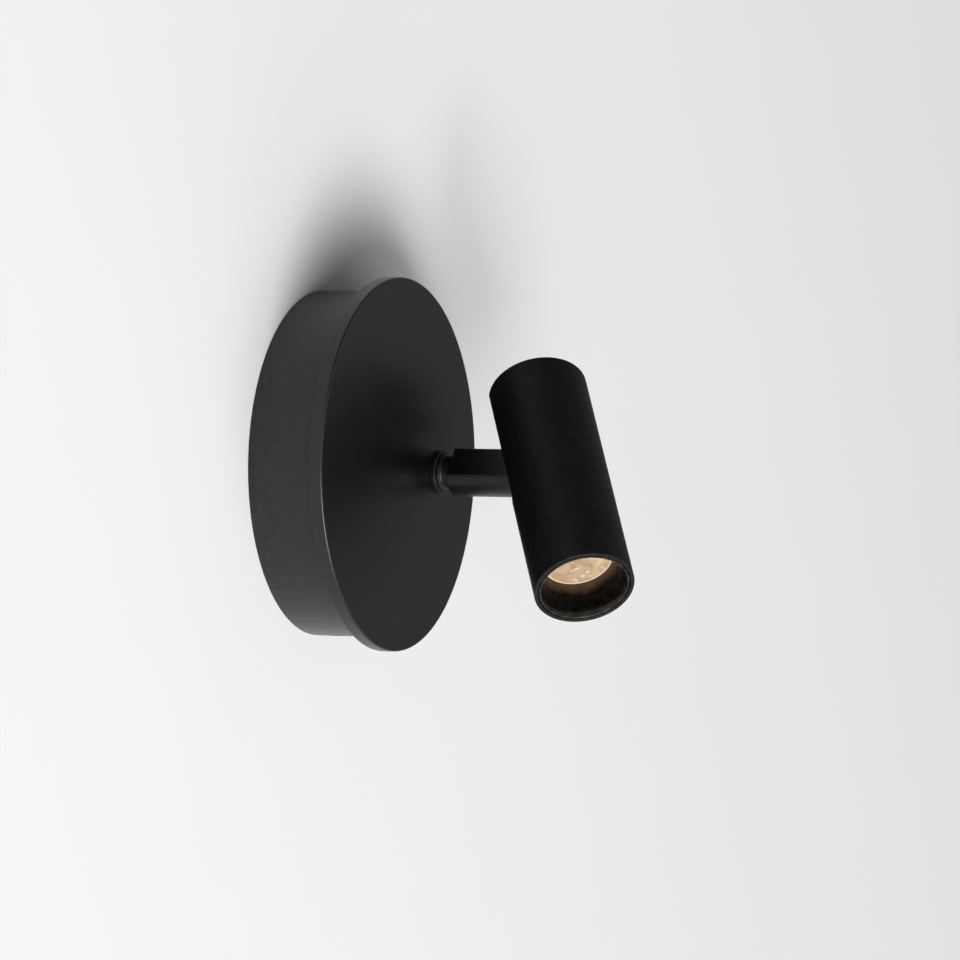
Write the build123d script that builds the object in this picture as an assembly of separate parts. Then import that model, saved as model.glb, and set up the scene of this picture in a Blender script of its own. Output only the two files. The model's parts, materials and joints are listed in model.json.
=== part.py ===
from build123d import *
import os
from math import cos, pi, radians, sin, sqrt, tan

# A pivoting spotlight for a wall. A round base holds the driver, a short flat-sided arm
# turns in the base's lid, and a tubular head tilts on a pin at the arm's end.
# Millimetres. The origin is the centre of the base's back, on the wall's surface.
# +Y goes into the wall, -Y into the room and +Z up. A depth is a distance out from the wall.

# The pose at rest
rest_swivel = 32.5          # the arm's turn round its own line, from the light pointing down
rest_tilt = 25.3            # the head's tilt out, from parallel to the wall

# Fits
running_gap = 0.07          # radial play of a shaft in its bush
moving_gap = 0.3            # between faces that pass each other
seat_gap = 0.05             # radial play of a piece pushed into its place
plug_gap = 0.1              # radial play of what slides into the head's tube
over_cut = 1.0              # how far a cut runs past the face that it opens

# Base: cup and lid
lid_diameter = 120.0
lid_depth = 4.4             # at the rim
lid_skin = 2.4              # in the middle
lid_edge_chamfer = 0.4
cup_diameter = 111.0
cup_depth = 23.2
cup_wall = 1.5
cup_flange_width = 10.0
cup_flange_thickness = 1.6
cup_mouth_chamfer = 0.5
lid_screw_radius = 1.5
lid_screw_bite = 3.0
lid_screw_count = 3
lid_screw_first_angle = 90.0
lid_land_margin = 0.5       # the lid's raised land inside the cup's flange

# Wall bracket
bracket_radius = 50.0
bracket_gauge = 1.5
wall_hole_spacing = 60.0
wall_hole_radius = 2.4
wall_slot_reach = 44.5      # from the centre to the slot's far end radius centre
wall_slot_travel = 4.0
ear_width = 14.0
ear_depth = 13.0
ear_play = 0.8              # between an ear's middle and the cup's wall
ear_foot = 4.0              # how far an ear's foot runs into the plate
ear_bend_radius = 1.2
side_screw_depth = 8.0
side_screw_radius = 2.0
side_screw_length = 8.0
side_screw_sink = 0.3       # the screw's outer end below the cup's surface
tapped_collar_radius = 3.6
tapped_collar_height = 1.6

# Cable entry
grommet_hole_radius = 9.0
grommet_bore_radius = 4.6
grommet_lip = 2.0
grommet_lip_thickness = 1.6

# Screw heads
head_height_share = 0.6     # a pan head's height over its screw's diameter
head_radius_share = 1.9     # a pan head's radius over its screw's radius
head_chamfer_share = 0.3    # its chamfer over its height
socket_radius_share = 0.9   # a hexagon socket over its screw's radius
socket_depth_share = 0.6    # and its depth over the head's height

# Earth screw
earth_screw_place = (26.0, -24.0)
earth_screw_radius = 2.0
earth_cup_radius = 5.0
earth_cup_thickness = 1.0

# Terminal block
block_place = (24.0, 23.0)
block_size = (16.0, 21.0)   # across and up, with the poles one above the other
block_height = 11.0
block_pitch = 6.6
block_wire_radius = 1.6
block_step = 3.0            # how far the two wire rows stand below the screw tower
block_screw_radius = 1.4
block_screw_wall = 0.6      # between a screw's well and the tower's side
block_screw_sink = 1.0      # a screw's end below the tower's top
block_screw_slot = 0.5

# Driver
driver_right = -12.0
driver_width = 36.0
driver_length = 54.0
driver_front_gap = 1.3      # between the driver's top and the lid's screw heads
driver_wall = 1.5
driver_corner = 8.0
driver_cover_thickness = 1.4
driver_cover_chamfer = 0.45
driver_ear_width = 8.0
driver_ear_reach = 7.0
driver_ear_thickness = 2.0
driver_ear_from_right = 18.0
driver_screw_radius = 1.5
driver_post_radius = 1.8
driver_post_height = 2.0
driver_board_thickness = 1.6
driver_board_play = 0.5
transformer_size = (14.0, 16.0)
transformer_head_room = 2.0     # below the driver's cover
transformer_place = (-22.0, 8.0)
capacitor_radius = 4.0
capacitor_head_room = 1.5
capacitor_place = (-36.0, -8.0)

# Leads
lead_radius = 1.3
lead_hole_play = 0.5
lead_bend_share = 0.45      # a bend's tangent over the shorter run beside it
output_exit_inset = 10.0    # from the driver's lower end
output_plane_depth = 4.2    # the lead's line in front of the wall, where it crosses the base
output_turn_place = 14.0
input_exit_inset = 6.0      # from the driver's upper end
input_depth = 8.5
input_run = 7.0             # the straight runs at each end of the input lead

# Swivel
arm_offset = 31.0           # the arm's line lies off the lid's centre, clear of the driver
swivel_boss_radius = 13.0
stem_radius = 5.2
stem_bore_radius = 3.0
stem_bury = 9.0             # how far the stem goes into the arm
stem_tail = 1.25            # how far the stem stands out behind its nut
collar_sleeve_wall = 1.15
collar_flange_radius = 7.0
collar_foot_radius = 6.75
collar_flange_height = 1.3
collar_lip_height = 0.4
collar_lip_radius = 0.36
stem_shoulder_radius = 5.85
stem_shoulder_height = 0.55
stem_root_radius = 0.5      # the hollow fillet in front of the shoulder
neck_length = 6.0           # from the lid's face to the arm's rear end
thrust_washer_radius = 8.0
thrust_washer_thickness = 1.0
stop_washer_radius = 7.9
stop_washer_thickness = 1.2
stop_tab_reach = 10.6
stop_tab_width = 2.6
stop_tab_root = 1.0         # how far the tab runs into its ring
stop_pin_orbit = 9.3
stop_pin_radius = 1.0
stop_pin_bury = 1.8
disc_spring_radius = 8.2
disc_spring_gauge = 0.5
disc_spring_height = 1.0
nut_across_flats = 14.0
nut_thickness = 4.0

# Arm
arm_radius = 7.8
arm_flat = 5.83             # from the arm's line to each flat
arm_rear_chamfer = 0.5
arm_bore_radius = 2.6
pivot_reach = 41.5          # from the lid's face to the tilt axis
groove_width = 4.6
groove_roof = 3.8           # from the arm's line down to the lead groove's roof
pocket_start = 13.5         # from the tilt axis back to the start of the lead pocket
pocket_end = 5.0
lead_turn_reach = 7.5       # from the tilt axis back to the lead's second bend
lead_leave_reach = 14.5     # and to its first

# Head tube
head_radius = 16.2
head_wall = 1.35
head_rear = 37.2            # from the tilt axis to the rear end
head_front = 49.6           # from the tilt axis to the front end
head_rear_chamfer = 0.6
head_front_chamfer = 0.3
slot_end_gap = 0.4          # between the arm and the slot's end
slot_corner_radius = 2.0
tube_screw_radius = 1.5
tube_screw_length = 5.0

# Tilt joint
yoke_recess = 0.4           # the yoke's rear face behind the tube's rim
yoke_floor = 3.8
pin_radius = 2.5
pin_chamfer = 0.4
pin_inset = 0.8             # each end of the pin inside the yoke's surface
friction_washer_radius = 6.0
friction_washer_thickness = 0.8
friction_washer_recess = 0.6
lead_hole_offset = 6.0      # from the head's line to the lead, on the room side

# Light engine
sink_length = 13.0
sink_front_flange = 5.0
sink_rear_flange = 2.0
sink_groove_depth = 5.75    # from the flanges' edge in to the core
sink_fin_count = 12
sink_fin_thickness = 1.4
sink_fin_root = 1.0         # how far a fin runs into the core
sink_screw_inset = 4.55     # from the flanges' edge in to a screw's line
sink_screw_radius = 1.5
sink_screw_bite = 7.0
led_board_inset = 2.15      # the board's edge inside the heat sink's
led_board_thickness = 1.6
board_screw_gap = 0.6       # between the chip's corner and a screw's head
board_screw_radius = 1.0
board_screw_length = 5.0
chip_side = 7.0
chip_thickness = 0.8
phosphor_radius = 2.6
phosphor_height = 0.3
holder_length = 11.0
holder_wall = 2.95          # from the lens's edge out to the holder's
lens_rim_thickness = 1.6
lens_shoulder = 0.4
lens_rear_radius = 5.2
lens_rear_gap = 1.4         # from the board's face to the lens's rear end
lens_cup_radius = 3.4
lens_cup_depth = 3.0
baffle_wall = 0.9
baffle_lip = 0.2            # how far its rear end laps over the lens's rim
baffle_mouth_inset = 1.05   # its mouth inside the edge of its front flange
baffle_flange = 1.0
front_ring_depth = 2.1
front_ring_wall = 0.72
front_ring_inset = 0.1
front_ring_chamfer = 0.2

# Worked out from the values above
base_depth = cup_depth + lid_depth
cup_radius = cup_diameter / 2
cup_inner_radius = cup_radius - cup_wall
flange_inner_radius = cup_inner_radius - cup_flange_width
lid_screw_orbit = flange_inner_radius + cup_flange_width / 2
pivot_depth = base_depth + pivot_reach
arm_rear_depth = base_depth + neck_length
stem_bush_radius = stem_radius + running_gap
collar_sleeve_radius = stem_bush_radius + collar_sleeve_wall
thrust_back = cup_depth - moving_gap / 2
stop_washer_back = thrust_back - thrust_washer_thickness
spring_back = stop_washer_back - stop_washer_thickness
nut_back = spring_back - disc_spring_height
stem_end = nut_back - nut_thickness - stem_tail
lid_screw_seat = cup_depth - cup_flange_thickness
driver_top = lid_screw_seat - 2 * lid_screw_radius * head_height_share - driver_front_gap
driver_cover_back = driver_top - driver_cover_thickness
driver_board_back = bracket_gauge + driver_wall + driver_post_height
driver_board_front = driver_board_back + driver_board_thickness
output_exit_height = output_exit_inset - driver_length / 2
input_exit_height = driver_length / 2 - input_exit_inset
slot_half = arm_flat + moving_gap
slot_end = arm_radius + slot_end_gap
tube_bore_radius = head_radius - head_wall
plug_radius = tube_bore_radius - plug_gap
yoke_front = slot_end + yoke_floor
sink_front = yoke_front + sink_length
sink_core_radius = plug_radius - sink_groove_depth
sink_screw_orbit = plug_radius - sink_screw_inset
led_board_radius = plug_radius - led_board_inset
board_screw_orbit = chip_side / sqrt(2) + board_screw_gap + board_screw_radius * head_radius_share
board_front = sink_front + led_board_thickness
holder_front = board_front + holder_length
holder_radius = plug_radius - plug_gap
lens_radius = holder_radius - holder_wall
baffle_front = head_front - front_ring_inset - front_ring_depth
ear_outer = cup_inner_radius - ear_play
block_top = bracket_gauge + block_height
block_wire_depth = (bracket_gauge + block_top - block_step) / 2
lead_hole_radius = lead_radius + lead_hole_play
lead_groove_height = -(groove_roof + lead_hole_play / 2 + lead_radius)


def turned_out(profile):
    """A body turned round the Y axis from (radius, depth) corners."""
    corners = [(radius, -depth) for radius, depth in profile]
    return revolve(make_face(Polyline(*corners, close=True)), Axis.Y)


def turned_along(profile):
    """A body turned round the head's line from (radius, distance to the front) corners."""
    corners = [Vector(radius, 0, -distance) for radius, distance in profile]
    return revolve(make_face(Polyline(*corners, close=True)), Axis.Z)


def ring_out(inner, outer, back, thickness):
    """A flat ring round the Y axis whose face nearest the wall lies at the depth back."""
    front = back + thickness
    return turned_out([(inner, back), (outer, back), (outer, front), (inner, front)])


def post_out(radius, back, front, place=(0, 0)):
    """A round post along Y at a place (x, z), from one depth to another."""
    post = Rot(X=90) * Cylinder(radius, front - back)
    return Pos(place[0], -(back + front) / 2, place[1]) * post


def post_along(radius, start, end, place=(0, 0)):
    """A round post along the head's line at (x, wall side), between two distances."""
    return Pos(place[0], place[1], -(start + end) / 2) * Cylinder(radius, end - start)


def hexagon_out(across_flats, back, front, place=(0, 0)):
    """A six-sided prism along Y."""
    outline = RegularPolygon(across_flats / 2, 6, major_radius=False)
    prism = Rot(X=90) * extrude(outline, (front - back) / 2, both=True)
    return Pos(place[0], -(back + front) / 2, place[1]) * prism


def pan_screw(radius, length):
    """A pan-head screw along +Z with its seat at z = 0, its head above and its shank below."""
    head_height = 2 * radius * head_height_share
    head_radius = radius * head_radius_share
    head = Pos(0, 0, head_height / 2) * Cylinder(head_radius, head_height)
    head = chamfer(head.edges().group_by(Axis.Z)[-1], head_height * head_chamfer_share)
    socket = RegularPolygon(radius * socket_radius_share, 6, major_radius=False)
    depth = head_height * socket_depth_share
    head -= Pos(0, 0, head_height - depth) * extrude(socket, head_height)
    shank = Pos(0, 0, -length / 2) * Cylinder(radius, length)
    return head + shank


def grub_screw(radius, length):
    """A headless socket screw along +Z whose outer end is at z = 0."""
    body = Pos(0, 0, -length / 2) * Cylinder(radius, length)
    socket = RegularPolygon(radius * socket_radius_share / 2, 6, major_radius=False)
    return body - Pos(0, 0, -length / 2) * extrude(socket, length)


def around(count, first_angle, radius):
    """Evenly spaced places (x, z) on a circle."""
    places = []
    for index in range(count):
        angle = radians(first_angle + index * 360 / count)
        places.append((radius * cos(angle), radius * sin(angle)))
    return places


def bend_radii(points):
    """The largest arcs that the straight runs of a lead leave room for."""
    radii = []
    for before, corner, after in zip(points, points[1:], points[2:]):
        first = Vector(*corner) - Vector(*before)
        second = Vector(*after) - Vector(*corner)
        half_turn = radians(first.get_angle(second)) / 2
        radii.append(lead_bend_share * min(first.length, second.length) / tan(half_turn))
    return radii


def lead_along(name, points):
    """A round lead of straight runs joined by tangent arcs."""
    radii = bend_radii(points)
    if radii:
        path = FilletPolyline(*points, radius=radii)
    else:
        path = Polyline(*points)
    lead = sweep(Plane(path @ 0, z_dir=path % 0) * Circle(lead_radius), path=path)
    section = pi * lead_radius ** 2
    share = lead.volume / (section * path.length)
    print(name, "bend radii", [round(radius, 1) for radius in radii], "volume share", round(share, 4))
    return lead


def on_arm(shape):
    """From the arm's own frame, light pointing down, to its place at rest."""
    return Pos(arm_offset, 0, 0) * Rot(Y=rest_swivel) * shape


def on_head(shape):
    """From the head's own frame, pivot at its origin and front down, to its place at rest."""
    return Pos(arm_offset, -pivot_depth, 0) * Rot(Y=rest_swivel) * Rot(X=-rest_tilt) * shape


# Base

def wall_hole_places():
    return [(0, wall_hole_spacing / 2), (0, -wall_hole_spacing / 2)]


def driver_screw_places():
    across = driver_right - driver_ear_from_right
    along = driver_length / 2 + driver_ear_reach / 2
    return [(across, along), (across, -along)]


def bracket_ear(side):
    """A tab bent out from the plate's edge, with a tapped collar for a side screw."""
    root = bracket_radius - ear_foot
    foot = Box(ear_width, bracket_gauge, ear_outer - root)
    ear = Pos(0, -bracket_gauge / 2, (root + ear_outer) / 2) * foot
    middle = ear_outer - bracket_gauge / 2
    ear += Pos(0, -ear_depth / 2, middle) * Box(ear_width, ear_depth, bracket_gauge)
    inner_corner = Vector(0, -bracket_gauge, ear_outer - bracket_gauge)
    inner_bend = ear.edges().filter_by(Axis.X).sort_by_distance(inner_corner)[0]
    ear = fillet(inner_bend, ear_bend_radius)
    collar = Cylinder(tapped_collar_radius, tapped_collar_height)
    ear += Pos(0, -side_screw_depth, ear_outer - bracket_gauge - tapped_collar_height / 2) * collar
    hole = Cylinder(side_screw_radius + seat_gap, 2 * side_screw_length)
    ear -= Pos(0, -side_screw_depth, ear_outer) * hole
    return Rot(Y=side) * ear


def bracket_hole(radius, place):
    return post_out(radius, -over_cut, bracket_gauge + over_cut, place)


def wall_bracket():
    plate = ring_out(grommet_hole_radius, bracket_radius, 0, bracket_gauge)
    for place in wall_hole_places():
        plate -= bracket_hole(wall_hole_radius, place)
    for side in (1, -1):
        middle = side * (wall_slot_reach - wall_slot_travel / 2)
        slot = Box(2 * wall_hole_radius, 2 * (bracket_gauge + over_cut), wall_slot_travel)
        plate -= Pos(0, 0, middle) * slot
        for end in (-1, 1):
            plate -= bracket_hole(wall_hole_radius, (0, middle + end * wall_slot_travel / 2))
    for place in driver_screw_places():
        plate -= bracket_hole(driver_screw_radius + seat_gap, place)
    plate -= bracket_hole(earth_screw_radius + seat_gap, earth_screw_place)
    for side in (0, 180):
        plate += bracket_ear(side)
    return plate


def cable_grommet():
    lip = grommet_hole_radius + grommet_lip
    groove = grommet_hole_radius - seat_gap
    front = bracket_gauge + grommet_lip_thickness
    # The back is flush with the bracket, so that nothing stands between bracket and wall.
    return turned_out([
        (grommet_bore_radius, 0),
        (groove, 0),
        (groove, bracket_gauge),
        (lip, bracket_gauge),
        (lip, front - grommet_lip_thickness / 2),
        (groove, front),
        (grommet_bore_radius, front),
    ])


def earth_screw():
    cup = ring_out(earth_screw_radius + seat_gap, earth_cup_radius, bracket_gauge, earth_cup_thickness)
    cup = Pos(earth_screw_place[0], 0, earth_screw_place[1]) * cup
    seat = bracket_gauge + earth_cup_thickness
    screw = Rot(X=90) * pan_screw(earth_screw_radius, seat)
    return [cup, Pos(earth_screw_place[0], -seat, earth_screw_place[1]) * screw]


def block_poles():
    return [block_place[1] + step * block_pitch for step in (-1, 0, 1)]


def block_screw_places():
    """Two wire screws to each pole, one each side of the tower's middle."""
    reach = block_size[0] / 2 - block_step - block_screw_radius - block_screw_wall
    return [(block_place[0] + side * reach, level) for level in block_poles() for side in (1, -1)]


def terminal_block():
    """A three-pole block: a screw tower with a lower step of wire holes on each side."""
    width, height = block_size
    middle = -(bracket_gauge + block_height / 2)
    block = Pos(block_place[0], middle, block_place[1]) * Box(width, block_height, height)
    for side in (1, -1):
        edge = block_place[0] + side * width / 2
        step = Box(2 * block_step, 2 * block_step, height)
        block -= Pos(edge, -block_top, block_place[1]) * step
    for level in block_poles():
        wire = Rot(Y=90) * Cylinder(block_wire_radius, width + 2 * over_cut)
        block -= Pos(block_place[0], -block_wire_depth, level) * wire
    for place in block_screw_places():
        block -= post_out(block_screw_radius + seat_gap, block_wire_depth, block_top + over_cut, place)
    return block


def terminal_screws():
    """The wire screws, their slotted ends below the tower's top."""
    top = block_top - block_screw_sink
    bottom = block_wire_depth + block_wire_radius
    slot = Box(2 * (block_screw_radius + over_cut), 2 * block_screw_slot, block_screw_slot)
    screws = []
    for place in block_screw_places():
        screw = post_out(block_screw_radius, bottom, top, place)
        screws.append(screw - Pos(place[0], -top, place[1]) * slot)
    return screws


def driver_outline(inset):
    """The driver's plan: a rectangle whose two outer corners follow the round base."""
    right = driver_right - inset
    left = driver_right - driver_width + inset
    half = driver_length / 2 - inset
    corner = driver_corner
    return [(right, half), (left + corner, half), (left, half - corner),
            (left, corner - half), (left + corner, -half), (right, -half)]


def plan_prism(corners, back, front):
    """A prism along Y on a plan of (x, z) corners, between two depths."""
    face = make_face(Polyline(*[Vector(x, -back, z) for x, z in corners], close=True))
    return extrude(face, front - back, dir=(0, -1, 0))


def driver_case():
    back = bracket_gauge
    front = driver_cover_back
    case = plan_prism(driver_outline(0), back, front)
    case -= plan_prism(driver_outline(driver_wall), back + driver_wall, front + over_cut)
    for place in driver_screw_places():
        ear_half = driver_ear_width / 2
        side = 1 if place[1] > 0 else -1
        near = side * (driver_length / 2 - driver_wall / 2)
        far = side * (driver_length / 2 + driver_ear_reach)
        plan = [(place[0] - ear_half, near), (place[0] + ear_half, near),
                (place[0] + ear_half, far), (place[0] - ear_half, far)]
        case += plan_prism(plan, back, back + driver_ear_thickness)
        hole_end = back + driver_ear_thickness + over_cut
        case -= post_out(driver_screw_radius + seat_gap, back - over_cut, hole_end, place)
    floor = back + driver_wall
    for place in driver_post_places():
        case += post_out(driver_post_radius, floor, floor + driver_post_height, place)
    for height, depth in ((output_exit_height, output_plane_depth), (input_exit_height, input_depth)):
        hole = Rot(Y=90) * Cylinder(lead_radius + seat_gap, 2 * (driver_wall + over_cut))
        case -= Pos(driver_right, -depth, height) * hole
    return case


def driver_post_places():
    """A post near each corner of the driver's board."""
    inset = driver_wall + driver_board_play + driver_post_radius
    right = driver_right - inset
    left = driver_right - driver_width + inset
    half = driver_length / 2 - inset
    return [(right, half), (right, -half), (left, half - driver_corner), (left, driver_corner - half)]


def driver_cover():
    cover = plan_prism(driver_outline(0), driver_cover_back, driver_top)
    return chamfer(cover.faces().sort_by(Axis.Y)[0].edges(), driver_cover_chamfer)


def driver_board():
    front = driver_board_front
    board = plan_prism(driver_outline(driver_wall + driver_board_play), driver_board_back, front)
    height = driver_cover_back - transformer_head_room - front
    transformer = Box(transformer_size[0], height, transformer_size[1])
    board += Pos(transformer_place[0], -(front + height / 2), transformer_place[1]) * transformer
    board += post_out(capacitor_radius, front, driver_cover_back - capacitor_head_room, capacitor_place)
    return board


def driver_screws():
    seat = bracket_gauge + driver_ear_thickness
    screws = []
    for place in driver_screw_places():
        screw = Rot(X=90) * pan_screw(driver_screw_radius, seat)
        screws.append(Pos(place[0], -seat, place[1]) * screw)
    return screws


def input_lead():
    """From the driver's mains side to the lowest pole of the terminal block."""
    level = block_poles()[0]
    face = block_place[0] - block_size[0] / 2
    points = [
        (driver_right - driver_wall, -input_depth, input_exit_height),
        (driver_right + input_run, -input_depth, input_exit_height),
        (face - input_run, -block_wire_depth, level),
        (face + block_step, -block_wire_depth, level),
    ]
    return lead_along("input_lead", points)


def output_lead():
    """From the driver's low-voltage side to the hollow stem's mouth."""
    points = [
        (driver_right - driver_wall, -output_plane_depth, output_exit_height),
        (output_turn_place, -output_plane_depth, output_exit_height),
        (arm_offset, -output_plane_depth, 0),
        (arm_offset, -(stem_end - moving_gap / 2), 0),
    ]
    return lead_along("output_lead", points)


def base_cup():
    front = cup_depth
    cup = turned_out([
        (cup_inner_radius, 0),
        (cup_radius, 0),
        (cup_radius, front),
        (flange_inner_radius, front),
        (flange_inner_radius, lid_screw_seat),
        (cup_inner_radius, lid_screw_seat),
    ])
    cup = chamfer(cup.edges().group_by(Axis.Y)[-1].sort_by(SortBy.LENGTH)[-1], cup_mouth_chamfer)
    for side in (1, -1):
        hole = Cylinder(side_screw_radius + seat_gap, 2 * (cup_wall + over_cut))
        cup -= Pos(0, -side_screw_depth, side * cup_radius) * hole
    hole_start = lid_screw_seat - over_cut
    for place in around(lid_screw_count, lid_screw_first_angle, lid_screw_orbit):
        cup -= post_out(lid_screw_radius + seat_gap, hole_start, front + over_cut, place)
    return cup


def side_screws():
    """Headless screws through the cup's wall into the bracket's ears."""
    screws = []
    for side in (0, 180):
        outer_end = cup_radius - side_screw_sink
        screw = Pos(0, -side_screw_depth, outer_end) * grub_screw(side_screw_radius, side_screw_length)
        screws.append(Rot(Y=side) * screw)
    return screws


def front_lid():
    land = flange_inner_radius - lid_land_margin
    recess = base_depth - lid_skin
    radius = lid_diameter / 2
    lid = turned_out([
        (0, recess),
        (land, recess),
        (land, cup_depth),
        (radius, cup_depth),
        (radius, base_depth - lid_edge_chamfer),
        (radius - lid_edge_chamfer, base_depth),
        (0, base_depth),
    ])
    lid += post_out(swivel_boss_radius, cup_depth, base_depth - lid_edge_chamfer, (arm_offset, 0))
    back = cup_depth - over_cut
    lid -= post_out(collar_sleeve_radius + seat_gap, back, base_depth + over_cut, (arm_offset, 0))
    lid -= post_out(stop_pin_radius, back, cup_depth + stop_pin_bury, (arm_offset - stop_pin_orbit, 0))
    for place in around(lid_screw_count, lid_screw_first_angle, lid_screw_orbit):
        lid -= post_out(lid_screw_radius, back, cup_depth + lid_screw_bite + seat_gap, place)
    return lid


def lid_screws():
    length = cup_flange_thickness + lid_screw_bite
    screws = []
    for place in around(lid_screw_count, lid_screw_first_angle, lid_screw_orbit):
        screw = Rot(X=-90) * pan_screw(lid_screw_radius, length)
        screws.append(Pos(place[0], -lid_screw_seat, place[1]) * screw)
    return screws


# Swivel

def swivel_collar():
    face = base_depth
    collar = turned_out([
        (stem_bush_radius, cup_depth),
        (collar_sleeve_radius, cup_depth),
        (collar_sleeve_radius, face),
        (collar_foot_radius, face),
        (collar_flange_radius, face + collar_flange_height - collar_lip_height),
        (collar_flange_radius, face + collar_flange_height),
        (stem_bush_radius, face + collar_flange_height),
    ])
    rim = collar.edges().group_by(Axis.Y)[0].sort_by(SortBy.LENGTH)[-1]
    return Pos(arm_offset, 0, 0) * fillet(rim, collar_lip_radius)


def stop_pin():
    place = (arm_offset - stop_pin_orbit, 0)
    return post_out(stop_pin_radius, spring_back, cup_depth + stop_pin_bury, place)


def swivel_stem():
    shoulder = base_depth + collar_flange_height + moving_gap
    step = shoulder + stem_shoulder_height
    front = arm_rear_depth + stem_bury
    stem = turned_out([
        (stem_bore_radius, stem_end),
        (stem_radius, stem_end),
        (stem_radius, shoulder),
        (stem_shoulder_radius, shoulder),
        (stem_shoulder_radius, step),
        (stem_radius, step),
        (stem_radius, front),
        (stem_bore_radius, front),
    ])
    root = stem.edges().filter_by(GeomType.CIRCLE).group_by(Axis.Y)[1].sort_by(SortBy.LENGTH)[0]
    return on_arm(fillet(root, stem_root_radius))


def thrust_washer():
    back = stop_washer_back
    return on_arm(ring_out(stem_radius + seat_gap, thrust_washer_radius, back, thrust_washer_thickness))


def stop_washer():
    """A washer whose tab meets the lid's pin near a full turn."""
    ring = ring_out(stem_radius + seat_gap, stop_washer_radius, spring_back, stop_washer_thickness)
    inner = stop_washer_radius - stop_tab_root
    middle = (inner + stop_tab_reach) / 2
    tab = Box(stop_tab_reach - inner, stop_washer_thickness, stop_tab_width)
    ring += Pos(middle, -(spring_back + stop_washer_thickness / 2), 0) * tab
    return on_arm(ring)


def disc_spring():
    """A dished washer that keeps the swivel stiff."""
    inner = stem_radius + seat_gap
    rise = disc_spring_height - disc_spring_gauge
    return on_arm(turned_out([
        (inner, nut_back),
        (disc_spring_radius, nut_back + rise),
        (disc_spring_radius, nut_back + disc_spring_height),
        (inner, nut_back + disc_spring_gauge),
    ]))


def swivel_nut():
    back = nut_back - nut_thickness
    nut = hexagon_out(nut_across_flats, back, nut_back)
    nut -= post_out(stem_radius + seat_gap, back - over_cut, nut_back + over_cut)
    return on_arm(nut)


# Arm

def arm():
    """A round bar with two flats, rounded at the tilt axis and bored for the stem, pin and lead."""
    tip = pivot_depth + arm_radius
    bar = turned_out([
        (0, arm_rear_depth),
        (arm_radius - arm_rear_chamfer, arm_rear_depth),
        (arm_radius, arm_rear_depth + arm_rear_chamfer),
        (arm_radius, tip),
        (0, tip),
    ])
    length = tip - arm_rear_depth
    bar &= Pos(0, -(arm_rear_depth + tip) / 2, 0) * Box(2 * arm_flat, length, 2 * arm_radius)
    straight = pivot_depth - arm_rear_depth
    shank = Pos(0, straight / 2 - pivot_depth, 0) * Box(2 * arm_flat, straight, 2 * arm_radius)
    nose = Pos(0, -pivot_depth, 0) * Rot(Y=90) * Cylinder(arm_radius, 2 * arm_flat)
    bar &= shank + nose
    bore_start = arm_rear_depth - over_cut
    bar -= post_out(stem_radius + seat_gap, bore_start, arm_rear_depth + stem_bury + seat_gap)
    bar -= post_out(arm_bore_radius, bore_start, pivot_depth - pocket_end)
    pin_hole = Rot(Y=90) * Cylinder(pin_radius + running_gap, 2 * (arm_flat + over_cut))
    bar -= Pos(0, -pivot_depth, 0) * pin_hole
    pocket_middle = pivot_depth - (pocket_start + pocket_end) / 2
    pocket = Box(groove_width, pocket_start - pocket_end, 2 * arm_radius)
    bar -= Pos(0, -pocket_middle, -arm_radius) * pocket
    groove_length = pocket_end + 2 * arm_radius
    groove = Box(groove_width, groove_length, 2 * arm_radius)
    groove_middle = pivot_depth - pocket_end + groove_length / 2
    bar -= Pos(0, -groove_middle, -groove_roof - arm_radius) * groove
    return on_arm(bar)


def arm_lead():
    """Along the stem and the arm, then under the pivot pin."""
    points = [
        (0, -(stem_end + moving_gap / 2), 0),
        (0, -(pivot_depth - lead_leave_reach), 0),
        (0, -(pivot_depth - lead_turn_reach), lead_groove_height),
        (0, -pivot_depth, lead_groove_height),
    ]
    return on_arm(lead_along("arm_lead", points))


# Head

def head_tube():
    tube = turned_along([
        (tube_bore_radius, -head_rear),
        (head_radius - head_rear_chamfer, -head_rear),
        (head_radius, head_rear_chamfer - head_rear),
        (head_radius, head_front - head_front_chamfer),
        (head_radius - head_front_chamfer, head_front),
        (tube_bore_radius, head_front),
    ])
    slot = Box(2 * slot_half, head_radius, 2 * head_rear)
    end_edges = slot.edges().filter_by(Axis.Y).group_by(Axis.Z)[0]
    slot = fillet(end_edges, slot_corner_radius)
    tube -= Pos(0, head_radius / 2 + slot_end, head_rear - slot_end) * slot
    screw_hole = Rot(X=90) * Cylinder(tube_screw_radius + seat_gap, 2 * (head_wall + over_cut))
    tube -= Pos(0, head_radius, -tube_screw_distance()) * screw_hole
    return on_head(tube)


def tube_screw_distance():
    return sink_front - sink_front_flange / 2


def pivot_yoke():
    """The plug in the head's rear: two cheeks that hold the pin, a web on the room side and a floor."""
    rear = yoke_recess - head_rear
    yoke = turned_along([(0, rear), (plug_radius, rear), (plug_radius, yoke_front), (0, yoke_front)])
    slot_length = slot_end - rear + over_cut
    slot = Box(2 * slot_half, 2 * plug_radius, slot_length)
    yoke -= Pos(0, plug_radius - slot_end, -(slot_end - slot_length / 2)) * slot
    across = Rot(Y=90)
    yoke -= across * Cylinder(pin_radius + seat_gap, 2 * (plug_radius + over_cut))
    recess = slot_half + friction_washer_recess
    yoke -= across * Cylinder(friction_washer_radius + seat_gap, 2 * recess)
    front = yoke_front + over_cut
    yoke -= post_along(lead_hole_radius, 0, front, (0, -lead_hole_offset))
    for side in (1, -1):
        place = (side * sink_screw_orbit, 0)
        yoke -= post_along(sink_screw_radius, yoke_front - sink_screw_bite, front, place)
    return on_head(yoke)


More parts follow.
